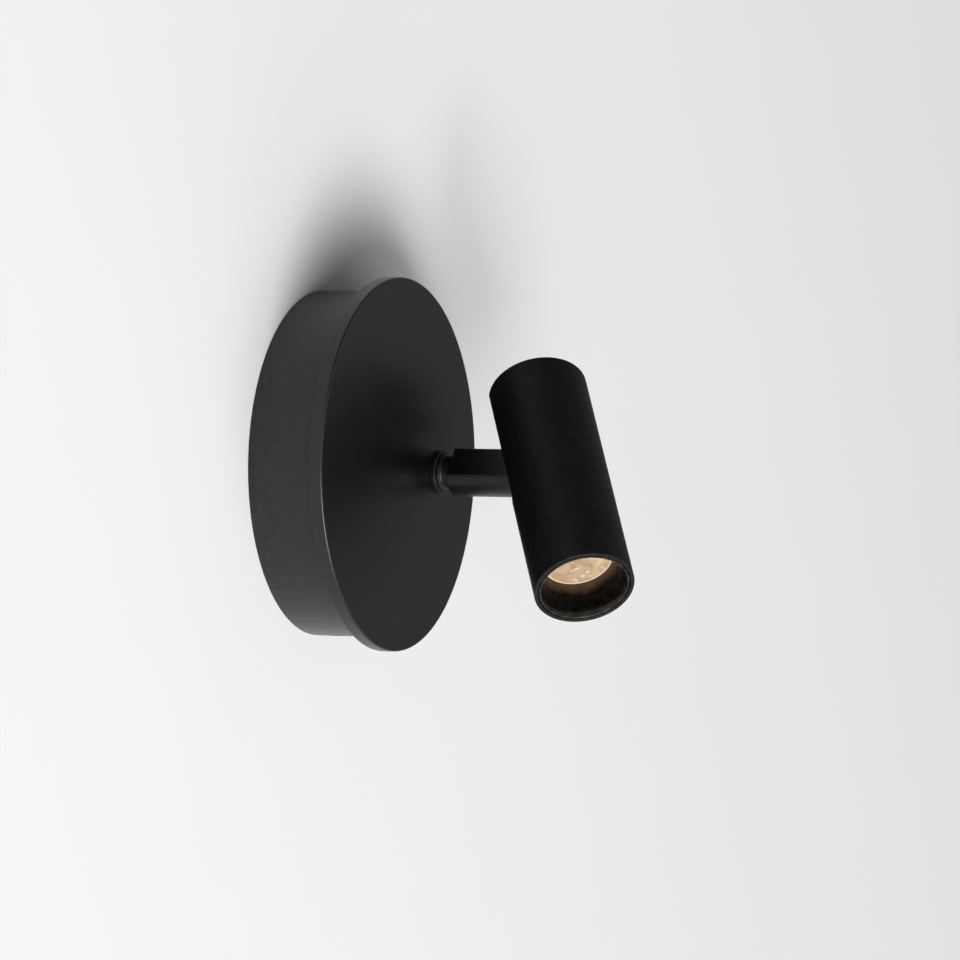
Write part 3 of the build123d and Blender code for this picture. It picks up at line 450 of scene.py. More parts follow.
# Finishes. Scales are per metre, so that a scale of 3000 is a grain of a third of a millimetre.
dustColour = (0.3, 0.28, 0.25)
speckColour = (0.16, 0.155, 0.15)
finishes = {
    "blackCoat": {
        "colour": (0.0006, 0.0006, 0.0006), "mottleColour": (0.0012, 0.0012, 0.0012),
        "roughness": 0.34, "roughnessSpread": 0.035, "grainScale": 1700.0, "mottleScale": 160.0,
        "bump": 0.3, "bumpDepth": 0.03, "wear": 0.35, "wearColour": (0.03, 0.03, 0.03), "dust": 0.02,
        "specks": 0.1, "fixed": {"IOR": 1.5}},
    "blackAnodised": {
        "colour": (0.0005, 0.0005, 0.0005), "mottleColour": (0.0009, 0.0009, 0.0009),
        "roughness": 0.31, "roughnessSpread": 0.05, "grainScale": 4200.0, "mottleScale": 70.0,
        "bump": 0.1, "bumpDepth": 0.02, "wear": 0.4, "wearColour": (0.035, 0.035, 0.036), "dust": 0.02,
        "specks": 0.08, "fixed": {"IOR": 1.5, "Specular IOR Level": 0.36}},
    "headBlack": {
        "colour": (0.0005, 0.0005, 0.0005), "mottleColour": (0.0009, 0.0009, 0.0009),
        "roughness": 0.56, "roughnessSpread": 0.02, "grainScale": 3000.0, "mottleScale": 220.0,
        "bump": 0.2, "bumpDepth": 0.02, "wear": 0.4, "wearColour": (0.035, 0.035, 0.036), "dust": 0.015,
        "specks": 0.08, "fixed": {"IOR": 1.5, "Specular IOR Level": 0.2}},
    "swivelMetal": {
        "colour": (0.003, 0.003, 0.003), "mottleColour": (0.006, 0.006, 0.006),
        "roughness": 0.42, "roughnessSpread": 0.06, "grainScale": 5000.0, "mottleScale": 200.0,
        "bump": 0.06, "bumpDepth": 0.01, "wear": 0.5, "wearColour": (0.04, 0.04, 0.04),
        "specks": 0.05, "fixed": {"IOR": 1.5, "Specular IOR Level": 0.24}},
    "blackScrew": {
        "colour": (0.012, 0.012, 0.013), "mottleColour": (0.02, 0.02, 0.021),
        "roughness": 0.38, "roughnessSpread": 0.1, "grainScale": 4000.0, "mottleScale": 200.0,
        "bump": 0.12, "bumpDepth": 0.01, "wear": 0.6, "wearColour": (0.25, 0.25, 0.25),
        "fixed": {"Metallic": 0.5}},
    "bracketSteel": {
        "colour": (0.46, 0.46, 0.45), "mottleColour": (0.62, 0.62, 0.6),
        "roughness": 0.36, "roughnessSpread": 0.16, "grainScale": 1800.0, "mottleScale": 120.0,
        "bump": 0.1, "bumpDepth": 0.01, "wear": 0.5, "wearColour": (0.75, 0.75, 0.74),
        "fixed": {"Metallic": 1.0}},
    "screwSteel": {
        "colour": (0.5, 0.49, 0.46), "mottleColour": (0.62, 0.6, 0.55),
        "roughness": 0.3, "roughnessSpread": 0.12, "grainScale": 5000.0, "mottleScale": 300.0,
        "bump": 0.1, "bumpDepth": 0.01, "wear": 0.5, "wearColour": (0.75, 0.74, 0.7),
        "fixed": {"Metallic": 1.0}},
    "rubberBlack": {
        "colour": (0.018, 0.018, 0.018), "mottleColour": (0.03, 0.029, 0.028),
        "roughness": 0.72, "roughnessSpread": 0.1, "grainScale": 3000.0, "mottleScale": 250.0,
        "bump": 0.2, "bumpDepth": 0.03, "dust": 0.1},
    "terminalPlastic": {
        "colour": (0.62, 0.6, 0.55), "mottleColour": (0.7, 0.68, 0.63),
        "roughness": 0.42, "roughnessSpread": 0.08, "grainScale": 3500.0, "mottleScale": 150.0,
        "bump": 0.1, "bumpDepth": 0.02, "wear": 0.2, "wearColour": (0.8, 0.78, 0.74),
        "fixed": {"Subsurface Weight": 0.05}},
    "terminalBrass": {
        "colour": (0.55, 0.38, 0.14), "mottleColour": (0.65, 0.46, 0.19),
        "roughness": 0.28, "roughnessSpread": 0.12, "grainScale": 5000.0, "mottleScale": 300.0,
        "bump": 0.08, "bumpDepth": 0.01, "fixed": {"Metallic": 1.0}},
    "driverPlastic": {
        "colour": (0.55, 0.55, 0.53), "mottleColour": (0.62, 0.62, 0.6),
        "roughness": 0.5, "roughnessSpread": 0.08, "grainScale": 2400.0, "mottleScale": 100.0,
        "bump": 0.2, "bumpDepth": 0.02, "wear": 0.2, "wearColour": (0.72, 0.72, 0.7)},
    "circuitBoard": {
        "colour": (0.02, 0.12, 0.04), "mottleColour": (0.03, 0.17, 0.06),
        "roughness": 0.3, "roughnessSpread": 0.1, "grainScale": 1500.0, "mottleScale": 400.0,
        "bump": 0.1, "bumpDepth": 0.02},
    "leadSheath": {
        "colour": (0.5, 0.49, 0.47), "mottleColour": (0.6, 0.59, 0.56),
        "roughness": 0.45, "roughnessSpread": 0.08, "grainScale": 2500.0, "mottleScale": 200.0,
        "bump": 0.1, "bumpDepth": 0.02},
    "nylon": {
        "colour": (0.68, 0.66, 0.6), "mottleColour": (0.75, 0.73, 0.68),
        "roughness": 0.4, "roughnessSpread": 0.08, "grainScale": 2500.0, "mottleScale": 200.0,
        "bump": 0.08, "bumpDepth": 0.01, "fixed": {"Subsurface Weight": 0.08}},
    "bareAluminium": {
        "colour": (0.62, 0.62, 0.63), "mottleColour": (0.7, 0.7, 0.71),
        "roughness": 0.34, "roughnessSpread": 0.12, "grainScale": 3000.0, "mottleScale": 150.0,
        "bump": 0.12, "bumpDepth": 0.01, "fixed": {"Metallic": 1.0}},
    "lightBoard": {
        "colour": (0.74, 0.74, 0.72), "mottleColour": (0.8, 0.8, 0.78),
        "roughness": 0.35, "roughnessSpread": 0.06, "grainScale": 2500.0, "mottleScale": 300.0,
        "bump": 0.05, "bumpDepth": 0.01},
    "phosphor": {
        "colour": (0.8, 0.62, 0.12), "mottleColour": (0.85, 0.68, 0.2),
        "roughness": 0.4, "roughnessSpread": 0.06, "grainScale": 4000.0, "mottleScale": 500.0,
        "bump": 0.1, "bumpDepth": 0.01,
        "fixed": {"Emission Color": (1.0, 0.78, 0.5, 1), "Emission Strength": 1.0}},
    "holderPlastic": {
        "colour": (0.02, 0.02, 0.02), "mottleColour": (0.03, 0.03, 0.03),
        "roughness": 0.45, "roughnessSpread": 0.06, "grainScale": 2500.0, "mottleScale": 200.0,
        "bump": 0.1, "bumpDepth": 0.02},
    "mattBlackPaintedGlow": {
        "colour": (0.001, 0.0009, 0.0008), "mottleColour": (0.0022, 0.0019, 0.0016),
        "roughness": 0.34, "roughnessSpread": 0.1, "grainScale": 2200.0, "mottleScale": 150.0,
        "bump": 0.25, "bumpDepth": 0.03, "wear": 0.3, "wearColour": (0.03, 0.026, 0.022),
        "fixed": {"IOR": 1.5, "Specular IOR Level": 0.05}},
    "ringBlack": {
        "colour": (0.004, 0.0036, 0.0032), "mottleColour": (0.007, 0.0062, 0.0056),
        "roughness": 0.36, "roughnessSpread": 0.08, "grainScale": 3600.0, "mottleScale": 150.0,
        "bump": 0.12, "bumpDepth": 0.02, "wear": 0.5, "wearColour": (0.1, 0.095, 0.09),
        "specks": 0.08, "fixed": {"IOR": 1.5, "Specular IOR Level": 0.3}},
}
materials = {name: surfaceMaterial(name, look) for name, look in finishes.items()}
print("finishes made:", len(materials))


# Lens finish

lensGlow = {
    "warm": (0.4, 0.25, 0.14), "bright": (0.74, 0.56, 0.36), "hot": (1.0, 0.95, 0.84), "edge": (0.9, 0.72, 0.5),
    "rim": (0.02, 0.013, 0.008), "opticRadius": 11.45, "edgeWidth": 0.3, "spotRadius": 8.0,
    "body": (0.03, 0.025, 0.02), "index": 1.49, "softScale": 170.0, "softRange": (0.38, 0.68),
    "hotScale": 230.0, "hotRange": (0.6, 0.74),
}


def lensMaterial():
    # The lit lens. Its glow goes by the distance from the head's axis: warm, a bright line near the edge, then dark.
    # Soft bright patches and a few small hot spots come from two noises.
    material, tree, shader = newMaterial("lensClear")
    shader.inputs["IOR"].default_value = lensGlow["index"]
    shader.inputs["Emission Strength"].default_value = 1.0
    shader.inputs["Base Color"].default_value = (*lensGlow["body"], 1)
    spot = objectSpot(tree)
    away = vectorMaths(tree, "SUBTRACT", spot, tuple(headLine["origin"] * mm))
    radius = vectorMaths(tree, "LENGTH", vectorMaths(tree, "CROSS_PRODUCT", away, tuple(headLine["along"])))
    outer = lensGlow["opticRadius"] * mm
    line = lensGlow["edgeWidth"] * mm
    soft = ranged(tree, noise(tree, spot, lensGlow["softScale"], 3.0, distortion=0.6), *lensGlow["softRange"])
    sharp = ranged(tree, noise(tree, spot, lensGlow["hotScale"], 1.0, distortion=0.7), *lensGlow["hotRange"])
    within = ranged(tree, radius, lensGlow["spotRadius"] * mm, outer, 1.0, 0.2)
    colour = mixColours(tree, soft, lensGlow["warm"], lensGlow["bright"])
    colour = mixColours(tree, maths(tree, "MULTIPLY", sharp, within), colour, lensGlow["hot"])
    colour = mixColours(tree, ranged(tree, radius, outer - 3 * line, outer - line), colour, lensGlow["edge"])
    colour = mixColours(tree, ranged(tree, radius, outer - line, outer), colour, lensGlow["rim"])
    tree.links.new(colour, shader.inputs["Emission Color"])
    grain = placeGroup(tree, grainGroup, {"Grain Scale": 900.0, "Mottle Scale": 200.0,
                                          "Roughness": 0.12, "Roughness Spread": 0.05})
    tree.links.new(grain["Roughness"], shader.inputs["Roughness"])
    linkBump(tree, shader, grain["Height"], 0.1, 0.02 * mm)
    return material


materials["lensClear"] = lensMaterial()

# Painted light on the baffle: a warm emission colour near the lens, in place of the lens's light falling on the
# baffle.
paintedBaffleGlow = {"colour": (0.07, 0.042, 0.023), "start": 37.8, "end": 42.0, "ragged": 3.0}


def addPaintedBaffleGlow(material):
    # Painted light: an emission on the baffle's throat stands in for the light that the lens throws on it. The
    # painted glow fades from start to end along the head, with a ragged edge.
    tree = material.node_tree
    shader = tree.nodes["Principled BSDF"]
    shader.inputs["Emission Strength"].default_value = 1.0
    spot = objectSpot(tree)
    away = vectorMaths(tree, "SUBTRACT", spot, tuple(headLine["origin"] * mm))
    along = vectorMaths(tree, "DOT_PRODUCT", away, tuple(headLine["along"]))
    ragged = paintedBaffleGlow["ragged"] * mm
    shift = maths(tree, "MULTIPLY_ADD", noise(tree, spot, 240.0, 5.0), ragged, along)
    fade = ranged(tree, shift, paintedBaffleGlow["start"] * mm + ragged / 2, paintedBaffleGlow["end"] * mm + ragged / 2,
                  1.0, 0.0, "SMOOTHSTEP")
    glow = mixColours(tree, fade, (0, 0, 0), paintedBaffleGlow["colour"])
    tree.links.new(glow, shader.inputs["Emission Color"])


# The baffle's matt black finish also gets the painted glow near the lens.
addPaintedBaffleGlow(materials["mattBlackPaintedGlow"])


# Base: cup and lid

cup = {"radius": 55.5, "depth": 23.2, "wall": 1.5, "flangeWidth": 10.0, "flangeThickness": 1.6,
       "screwHoleRadius": 1.55, "screwOrbit": 49.0, "screwCount": 3, "screwFirst": 90.0,
       "sideScrewRadius": 2.05, "sideScrewDepth": 8.0, "sideScrewStart": 45.0, "sideScrewEnd": 62.0,
       "rounding": [0.15, 0.15, 0.6, 0.2, 0.2, 0.8], "cutPast": 2.0}       # cutPast: how far a cutter stands out
lid = {"radius": 60.0, "rimDepth": 4.4, "skin": 2.4, "landRadius": 43.5, "edge": 0.6, "rearEdge": 0.25,
       "collarHole": 6.47, "cutPast": 3.0}


def holePiece(line, radius, start, end, steps=40):
    # A plain round bar to cut a hole with.
    return turnedPiece("cut", line, [(0, start), (radius, start), (radius, end), (0, end)], 0, steps, 1, False)


def makeCup():
    # A turned shell with a flange inside its front, less two holes for the side screws and a ring of even holes.
    inner = cup["radius"] - cup["wall"]
    mouth = inner - cup["flangeWidth"]
    front = cup["depth"]
    back = front - cup["flangeThickness"]
    piece = turnedPiece("baseCupShell", baseLine, [
        (inner, 0), (cup["radius"], 0), (cup["radius"], front), (mouth, front), (mouth, back), (inner, back),
    ], cup["rounding"], steps=256)
    cutters = [holePiece(lineFrame([0, -cup["sideScrewDepth"], 0], [0, 0, up], [1, 0, 0]),
                         cup["sideScrewRadius"], cup["sideScrewStart"], cup["sideScrewEnd"]) for up in (1, -1)]
    for number in range(cup["screwCount"]):
        angle = radians(cup["screwFirst"] + number * 360 / cup["screwCount"])
        line = lineFrame([cup["screwOrbit"] * cos(angle), 0, cup["screwOrbit"] * sin(angle)], outward, [1, 0, 0])
        cutters.append(holePiece(line, cup["screwHoleRadius"], back - cup["cutPast"], front + cup["cutPast"], 32))
    cutAway(piece, *cutters)
    finishPiece(piece, "base", ["base_cup"], "blackCoat")


def makeLid():
    # A turned disc, thinner inside its land, less the hole for the collar.
    back = cup["depth"]
    front = back + lid["rimDepth"]
    recess = front - lid["skin"]
    piece = turnedPiece("frontLidPlate", baseLine, [
        (0, recess), (lid["landRadius"], recess), (lid["landRadius"], back), (lid["radius"], back),
        (lid["radius"], front), (0, front),
    ], [0, 0.4, 0.3, lid["rearEdge"], lid["edge"], 0], steps=288, cornerSteps=6, closed=False)
    cutAway(piece, holePiece(armLine, lid["collarHole"], back - lid["cutPast"], front + lid["cutPast"], 64))
    finishPiece(piece, "base", ["front_lid"], "blackCoat")


makeCup()
makeLid()


# Swivel

collar = {"bore": 5.27, "sleeve": 6.42, "foot": 6.75, "flange": 7.0, "height": 1.3, "flangeEdge": 0.4}
stem = {"bore": 3.0, "radius": 5.2, "shoulderRadius": 5.85, "shoulderStart": 1.6,
        "shoulderHeight": 0.55, "neck": 6.0}


def makeSwivel():
    # Two turned pieces on the arm's line: the collar, which stays in the lid, and the stem, which turns in it.
    face = cup["depth"] + lid["rimDepth"]
    piece = turnedPiece("swivelCollarRing", armLine, [
        (collar["bore"], cup["depth"]), (collar["sleeve"], cup["depth"]), (collar["sleeve"], face),
        (collar["foot"], face), (collar["flange"], face + collar["height"] - collar["flangeEdge"]),
        (collar["flange"], face + collar["height"]), (collar["bore"], face + collar["height"]),
    ], [0.1, 0.1, 0, 0.05, 0.3, 0.36, 0.15], steps=128, cornerSteps=6)
    finishPiece(piece, "base", ["swivel_collar"], "swivelMetal")
    low, high = (corner / mm for corner in map(np.array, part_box("swivel_stem")))
    back, front = -high[1], -low[1]
    shoulder = face + stem["shoulderStart"]
    step = shoulder + stem["shoulderHeight"]
    reach = stem["shoulderRadius"] - stem["radius"]
    piece = turnedPiece("swivelStemTube", armLine, [
        (stem["bore"], back), (stem["radius"], back), (stem["radius"], shoulder), (stem["shoulderRadius"], shoulder),
        (stem["shoulderRadius"], step), (stem["radius"] + reach / 3, step + reach / 3),
        (stem["radius"], step + reach), (stem["radius"], front), (stem["bore"], front),
    ], [0.15, 0.3, 0, 0.12, 0.2, 0.3, 0.4, 0.3, 0.15], steps=128, cornerSteps=6)
    finishPiece(piece, "arm", ["swivel_stem"], "swivelMetal")


makeSwivel()


# Arm

bar = {"radius": 7.8, "flat": 5.83, "boreRadius": 5.25, "leadRadius": 2.6, "pinRadius": 2.57,
       "grooveWidth": 4.6, "grooveRoof": 3.8, "pocketStart": 13.5, "pocketEnd": 5.0, "edge": 0.35,
       "edgeAngle": 25.0, "boreDepth": 9.05, "leadStart": 5.0, "pinReach": 9.0, "cutPast": 2.0, "grooveReach": 12.0}


def flattedOutline(radius, flat, steps):
    # A circle with its two sides cut off: (radius * cos, radius * sin) with the first clipped to the flats.
    top = np.arccos(flat / radius)
    upper = np.linspace(top, pi - top, steps)
    lower = np.linspace(pi + top, 2 * pi - top, steps)
    angle = np.concatenate([upper, lower])
    return np.stack([np.clip(radius * np.cos(angle), -flat, flat), radius * np.sin(angle)], 1)


def makeArm():
    # The outline runs from the rear end to the tilt axis, and its height then follows the round nose:
    # height = the smaller of the outline's and sqrt(radius^2 - distance past the axis^2).
    outline = flattedOutline(bar["radius"], bar["flat"], 48)
    rear = cup["depth"] + lid["rimDepth"] + stem["neck"]
    axis = -tiltPoint[1]
    straight = np.linspace(rear, axis, 30)
    nose = axis + bar["radius"] * np.sin(np.linspace(0, pi / 2, 40))[1:]
    along = np.concatenate([straight, nose])
    past = np.clip(along - axis, 0, None)
    ceiling = np.sqrt(np.clip(bar["radius"] ** 2 - past ** 2, 0, None))[:, None]
    first = np.broadcast_to(outline[:, 0], (len(along), len(outline)))
    second = np.clip(outline[:, 1][None], -ceiling, ceiling)
    rows = np.concatenate([np.zeros((1, *first.shape[1:])), first, np.broadcast_to(first[-1:], (1, len(outline)))])
    seconds = np.concatenate([np.zeros((1, *first.shape[1:])), second, np.zeros((1, len(outline)))])
    alongs = np.concatenate([[rear], along, [along[-1]]])[:, None]
    points = placed(armLine, rows, seconds, alongs)
    piece = meshPiece("armBar", points.reshape(-1, 3), gridQuads(len(alongs), len(outline), False, True))
    cutters = [
        holePiece(armLine, bar["boreRadius"], rear - bar["cutPast"], rear + bar["boreDepth"], 64),
        holePiece(armLine, bar["leadRadius"], rear + bar["leadStart"], axis - bar["pocketEnd"], 48),
        holePiece(lineFrame(tiltPoint, tiltAcross, outward), bar["pinRadius"], -bar["pinReach"], bar["pinReach"], 48),
    ]
    # The line's other direction points down or up with the frame, so the lead's groove takes its sign from it.
    down = -np.sign(armLine["other"] @ armUp)
    half = bar["grooveWidth"] / 2
    deepest = bar["grooveReach"]
    overlap = 0.01
    for depth, start, end in ((0.0, axis - bar["pocketStart"], axis - bar["pocketEnd"]),
                              (bar["grooveRoof"], axis - bar["pocketEnd"] - overlap, axis + deepest)):
        low, high = sorted([depth * down, deepest * down])
        cutters.append(boxPiece("cut", armLine, [-half, low, start], [half, high, end]))
    cutAway(piece, *cutters)
    softenEdges(piece, bar["edge"], bar["edgeAngle"])
    finishPiece(piece, "arm", ["arm"], "blackAnodised")


makeArm()


# Head

head = {"radius": 16.2, "wall": 1.35, "rear": 37.2, "front": 49.6, "rearRound": 0.6, "frontRound": 0.3,
        "slotHalf": 6.13, "slotEnd": 8.2, "slotCorner": 2.0, "screwRadius": 1.55, "screwAlong": 22.5, "edge": 0.22,
        "edgeAngle": 35.0, "screwStart": 10.0, "screwEnd": 20.0, "cutPast": 5.0}


def slotOutline(half, end, start, corner, steps=8):
    # The slot seen from the wall: a rectangle whose far corners are quarter circles.
    box = [(-half, start), (-half, end), (half, end), (half, start)]
    return roundedCorners(box, [0, corner, corner, 0], steps, True)


def makeHeadTube():
    # A turned tube, less the slot in which the arm swings and the hole of the screw that fixes the tube.
    bore = head["radius"] - head["wall"]
    piece = turnedPiece("headTubeShell", headLine, [
        (bore, -head["rear"]), (head["radius"], -head["rear"]), (head["radius"], head["front"]),
        (bore, head["front"]),
    ], [0.25, head["rearRound"], head["frontRound"], 0.35], steps=256, cornerSteps=6)
    wallSide = lineFrame(tiltPoint, headWallSide, tiltAcross)
    sign = np.sign(wallSide["other"] @ headForward)
    outline = slotOutline(head["slotHalf"], head["slotEnd"], -head["rear"] - head["cutPast"], head["slotCorner"])
    outline[:, 1] *= sign
    slot = outlinePiece("cut", wallSide, outline, head["slotEnd"], head["radius"] + head["cutPast"])
    screwLine = lineFrame(tiltPoint + headForward * head["screwAlong"], headWallSide, tiltAcross)
    cutAway(piece, slot, holePiece(screwLine, head["screwRadius"], head["screwStart"], head["screwEnd"]))
    softenEdges(piece, head["edge"], head["edgeAngle"])
    finishPiece(piece, "head", ["head_tube"], "headBlack")


makeHeadTube()


# Front ring, baffle and lens

mouth = {"holderFront": 37.6, "throat": 11.5, "holderRadius": 14.65, "flange": 1.0, "wall": 0.9,
         "mouthRadius": 13.7, "baffleFront": 47.4, "outer": 14.75, "ringWall": 0.72, "ringDepth": 2.1,
         "ringTaper": 0.34, "ringTaperDepth": 0.8}
optic = {"radius": 11.7, "rim": 1.6, "waist": 10.9, "rear": 28.0, "rearRadius": 5.2,
         "cupRadius": 3.4, "cupDepth": 3.0}


def makeMouth():
    # Two turned pieces: the baffle, a cone from throat to mouth, and the front ring, whose front edge tapers.
    start, end, flange = mouth["holderFront"], mouth["baffleFront"], mouth["flange"]
    piece = turnedPiece("baffleCone", headLine, [
        (mouth["throat"], start), (mouth["holderRadius"], start), (mouth["holderRadius"], start + flange),
        (mouth["throat"] + mouth["wall"], start + flange), (mouth["mouthRadius"] + mouth["wall"] / 2, end - flange),
        (mouth["outer"], end - flange), (mouth["outer"], end), (mouth["mouthRadius"], end),
    ], [0.1, 0.1, 0.1, 0.3, 0.3, 0.1, 0.1, 0.15], steps=192)
    finishPiece(piece, "head", ["baffle"], "mattBlackPaintedGlow")
    inner = mouth["outer"] - mouth["ringWall"]
    front = end + mouth["ringDepth"]
    piece = turnedPiece("frontRingLip", headLine, [
        (inner, end), (mouth["outer"], end), (mouth["outer"], front - mouth["ringTaperDepth"]),
        (mouth["outer"] - mouth["ringTaper"], front), (inner, front),
    ], [0.1, 0.1, 0.3, 0.14, 0.16], steps=192, cornerSteps=6)
    finishPiece(piece, "head", ["front_ring"], "ringBlack")


def makeLens():
    # A turned cone that widens from the cup over the chip to a rim behind the baffle.
    low, high = optic["rear"], mouth["holderFront"]
    seat = high - optic["rim"]
    piece = turnedPiece("lensOptic", headLine, [
        (0, low + optic["cupDepth"]), (optic["cupRadius"], low + optic["cupDepth"]), (optic["cupRadius"], low),
        (optic["rearRadius"], low), (optic["waist"], seat), (optic["radius"], seat), (optic["radius"], high),
        (0, high),
    ], [0, 0.6, 0.2, 0.2, 0.2, 0.15, 0.2, 0], steps=160, closed=False)
    finishPiece(piece, "head", ["lens"], "lensClear")


makeMouth()
makeLens()


# Solids seen from behind: copies of the CAD nodes with softened edges

softened = {        # piece: CAD node, body, slot, finish, width of the rounded edge
    "bracketPlate": ("wall_bracket", "base", "bracket_steel", "bracketSteel", 0.2),
    "grommetRing": ("cable_grommet", "base", "rubber_black", "rubberBlack", 0.3),
    "driverShell": ("driver_case", "base", "driver_plastic", "driverPlastic", 0.5),
    "driverLid": ("driver_cover", "base", "driver_plastic", "driverPlastic", 0.3),
    "terminalBody": ("terminal_block", "base", "terminal_plastic", "terminalPlastic", 0.25),
    "grubScrews": ("side_screws", "base", "black_screw", "blackScrew", 0.12),
    "tubeScrew": ("tube_screw", "head", "black_screw", "blackScrew", 0.1),
    "yokePlug": ("pivot_yoke", "head", "black_anodised", "blackAnodised", 0.2),
}
softenedAngle = 40.0      # edges that turn more than this are rounded, in degrees


def solidCopy(name, node, mergeDistance=0.002, flatAngle=1.0):
    # A copy of a CAD node's triangles, merged, with flat neighbours joined.
    source = frame["nodes"][node].data
    points = np.empty(len(source.vertices) * 3, np.float32)
    source.vertices.foreach_get("co", points)
    source.calc_loop_triangles()
    faces = np.empty(len(source.loop_triangles) * 3, np.int32)
    source.loop_triangles.foreach_get("vertices", faces)
    piece = meshPiece(name, points.reshape(-1, 3) / mm, faces.reshape(-1, 3))
    cleanMesh(piece.data, mergeDistance, flatAngle)
    return piece


for name, (node, body, slot, finish, edge) in softened.items():
    piece = solidCopy(name, node)
    softenEdges(piece, edge, softenedAngle)
    finishPiece(piece, body, [node], finish)


# Nodes that keep their CAD shape

nodeFinishes = {
    "terminalBrass": ["earth_screw", "terminal_screws"],
    "circuitBoard": ["driver_board"],
    "screwSteel": ["driver_screws", "lid_screws", "stop_pin", "stop_washer", "disc_spring", "swivel_nut",
                   "pivot_pin", "sink_screws", "board_screws"],
    "leadSheath": ["input_lead", "output_lead", "arm_lead", "head_lead"],
    "nylon": ["thrust_washer", "friction_washers"],
    "bareAluminium": ["heat_sink"],
    "lightBoard": ["led_board"],
    "phosphor": ["led_chip"],
    "holderPlastic": ["lens_holder"],
}
for finish, names in nodeFinishes.items():
    for name in names:
        slots = frame["nodes"][name].data.materials
        for number in range(max(len(slots), 1)):
            if slots:
                slots[number] = materials[finish]
            else:
                slots.append(materials[finish])
print("CAD nodes dressed:", sum(len(names) for names in nodeFinishes.values()))


# Stage, light and camera

stage = {"left": 3.0, "right": 3.0, "low": 0.9, "high": 0.26, "holeRadius": 0.054, "wallColour": (0.78, 0.78, 0.775),
         "wallMottle": 0.985}
keyLight = {"direction": (-0.615, -0.535, -0.58), "distance": 4.15, "along": 1.35, "across": 3.6, "power": 218.0,
            "colour": (1.0, 1.0, 1.0)}
room = {"low": 0.05, "pale": 0.82, "dimSide": {"direction": (0.95, -0.3, 0.06), "from": 0.84, "to": 0.93},
        "dimAbove": {"direction": (0.0, 0.0, 1.0), "from": 0.35, "to": 0.6},
        "lobes": {"right": {"direction": (0.98, -0.2, 0.0), "from": -0.3, "to": 0.8, "level": 0.15},
                  "floor": {"direction": (0.0, 0.0, -1.0), "from": 0.3, "to": 0.9, "level": 1.2},
                  "front": {"direction": (-0.35, -0.65, -0.65), "from": 0.3, "to": 0.95, "level": 0.5},
                  "behind": {"direction": (0.0, 1.0, -0.2), "from": 0.5, "to": 0.95, "level": 0.9}}}
view = {"azimuth": -66.541, "elevation": -3.691, "roll": 2.634, "distance": 1.871, "lens": 218.98,
        "right": 0.02541, "up": 0.0050}


def wallPiece(name, hole, left, right, low, high, rings=48, steps=192):
    # A flat wall round a hole. Each ray out from the hole ends on the wall's border, at the smaller of
    # width / |cos(angle)| and height / |sin(angle)|, and its points grow by a steady factor.
    angle = (np.arange(steps) + 0.5) * 2 * pi / steps
    across, up = np.cos(angle), np.sin(angle)
    reach = np.minimum(np.where(across > 0, right, left) / np.abs(across), np.where(up > 0, high, low) / np.abs(up))
    radius = hole * (reach / hole) ** np.linspace(0, 1, rings)[:, None]
    points = np.stack([radius * across, 0 * radius, radius * up], -1).reshape(-1, 3)
    mesh = bpy.data.meshes.new(name)
    mesh.from_pydata(points.tolist(), [], gridQuads(rings, steps, False, True).tolist())
    mesh.update()
    piece = bpy.data.objects.new(name, mesh)
    bpy.context.scene.collection.objects.link(piece)
    return piece


def plasterMaterial(name, colour):
    # Pale paint with a faint roller texture. The wall's back lets the view and the light through.
    material, tree, shader = newMaterial(name)
    shader.inputs["Specular IOR Level"].default_value = 0.0
    spot = objectSpot(tree)
    slow = noise(tree, spot, 18.0, 3.0)
    darker = tuple(level * stage["wallMottle"] for level in colour)
    tree.links.new(mixColours(tree, slow, darker, colour), shader.inputs["Base Color"])
    tree.links.new(ranged(tree, slow, 0.0, 1.0, 0.75, 0.9), shader.inputs["Roughness"])
    linkBump(tree, shader, noise(tree, spot, 700.0, 4.0), 0.12, 0.0001)
    facing = addNode(tree, "ShaderNodeNewGeometry").outputs["Backfacing"]
    clear = addNode(tree, "ShaderNodeBsdfTransparent")
    mix = addNode(tree, "ShaderNodeMixShader", {0: facing, 1: shader.outputs[0], 2: clear.outputs[0]})
    tree.links.new(mix.outputs[0], tree.nodes["Material Output"].inputs["Surface"])
    return material


def makeStage():
    # The wall behind the lamp, with its paint.
    wall = wallPiece("wallPlane", stage["holeRadius"], stage["left"], stage["right"], stage["low"], stage["high"])
    wall.data.materials.append(plasterMaterial("wallPaint", stage["wallColour"]))


def makeKeyLight():
    # A long soft box, its long side square to the plane in which it shines on the wall.
    lamp = bpy.data.lights.new("keyLight", "AREA")
    lamp.shape = "ELLIPSE"
    lamp.size = keyLight["across"]
    lamp.size_y = keyLight["along"]
    lamp.energy = keyLight["power"]
    lamp.color = keyLight["colour"]
    holder = bpy.data.objects.new("keyLight", lamp)
    bpy.context.scene.collection.objects.link(holder)
    direction = np.array(keyLight["direction"])
    direction = direction / np.linalg.norm(direction)
    aim(holder, direction * keyLight["distance"], direction, np.cross(direction, outward))
    holder.visible_camera = False


def aim(thing, place, back, right=None):
    # Places a lamp or camera with its back along the given direction; its right side is level unless given.
    back = np.asarray(back, float) / np.linalg.norm(back)
    right = np.cross((0, 0, 1), back) if right is None else np.asarray(right, float)
    right = right / np.linalg.norm(right)
    turn = np.eye(4)
    turn[:3, :3] = np.stack([right, np.cross(back, right), back], 1)
    turn[:3, 3] = place
    thing.matrix_world = Matrix(turn)


def lobeMask(tree, direction, lobe, low, high):
    # Runs from low to high as the direction turns towards the lobe's middle.
    middle = np.array(lobe["direction"]) / np.linalg.norm(lobe["direction"])
    nearness = vectorMaths(tree, "DOT_PRODUCT", direction, tuple(middle))
    return ranged(tree, nearness, lobe["from"], lobe["to"], low, high, "SMOOTHSTEP")


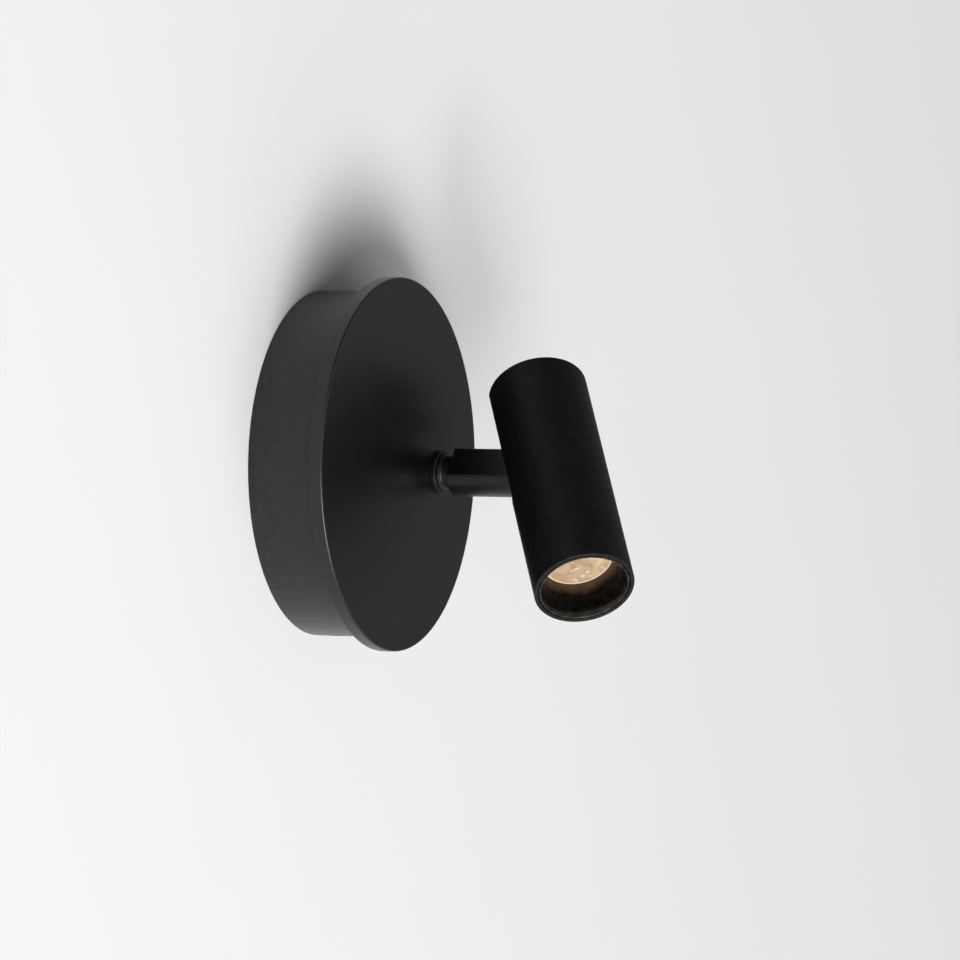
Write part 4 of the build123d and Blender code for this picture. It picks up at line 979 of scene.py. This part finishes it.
def makeRoom():
    # The room's light by direction: level = low + the sum of each lobe's level * smoothstep(direction . lobe).
    # Seen straight, in a gloss or through glass, the room is pale, but dim above and to one side.
    world = bpy.data.worlds.new("room")
    bpy.context.scene.world = world
    world.use_nodes = True
    tree = world.node_tree
    direction = addNode(tree, "ShaderNodeTexCoord").outputs["Generated"]
    total = room["low"]
    for lobe in room["lobes"].values():
        total = maths(tree, "ADD", lobeMask(tree, direction, lobe, 0.0, lobe["level"]), total)
    clear = maths(tree, "MULTIPLY", lobeMask(tree, direction, room["dimSide"], 1.0, 0.0),
                  lobeMask(tree, direction, room["dimAbove"], 1.0, 0.0))
    path = addNode(tree, "ShaderNodeLightPath").outputs
    seen = maths(tree, "MAXIMUM", path["Is Camera Ray"], path["Is Glossy Ray"])
    seen = maths(tree, "MAXIMUM", seen, path["Is Transmission Ray"])
    share = maths(tree, "MULTIPLY", seen, clear)
    shown = addNode(tree, "ShaderNodeMix", {0: share, 2: total, 3: room["pale"]})
    tree.links.new(shown.outputs[0], tree.nodes["Background"].inputs["Color"])


def makeCamera():
    # Back = the direction at the azimuth and elevation, and right and up are rolled about it.
    # Place = the lid's centre + shift right - shift down + distance * back.
    azimuth, elevation, roll = (radians(view[name]) for name in ("azimuth", "elevation", "roll"))
    back = np.array([sin(azimuth) * cos(elevation), -cos(azimuth) * cos(elevation), sin(elevation)])
    right = np.array([cos(azimuth), sin(azimuth), 0])
    up = np.cross(back, right)
    rolledRight = cos(roll) * right + sin(roll) * up
    rolledUp = cos(roll) * up - sin(roll) * right
    lidCentre = outward * (cup["depth"] + lid["rimDepth"]) * mm
    place = lidCentre + view["right"] * rolledRight - view["up"] * rolledUp + view["distance"] * back
    data = bpy.data.cameras.new("camera")
    data.lens = view["lens"]
    data.sensor_width = 36.0
    data.clip_start = 0.05
    data.clip_end = 30.0
    camera = bpy.data.objects.new("camera", data)
    bpy.context.scene.collection.objects.link(camera)
    aim(camera, place, back, rolledRight)
    bpy.context.scene.camera = camera


makeStage()
makeKeyLight()
makeRoom()
makeCamera()
bpy.context.scene.view_settings.view_transform = "Standard"
print("stage, light and camera made")
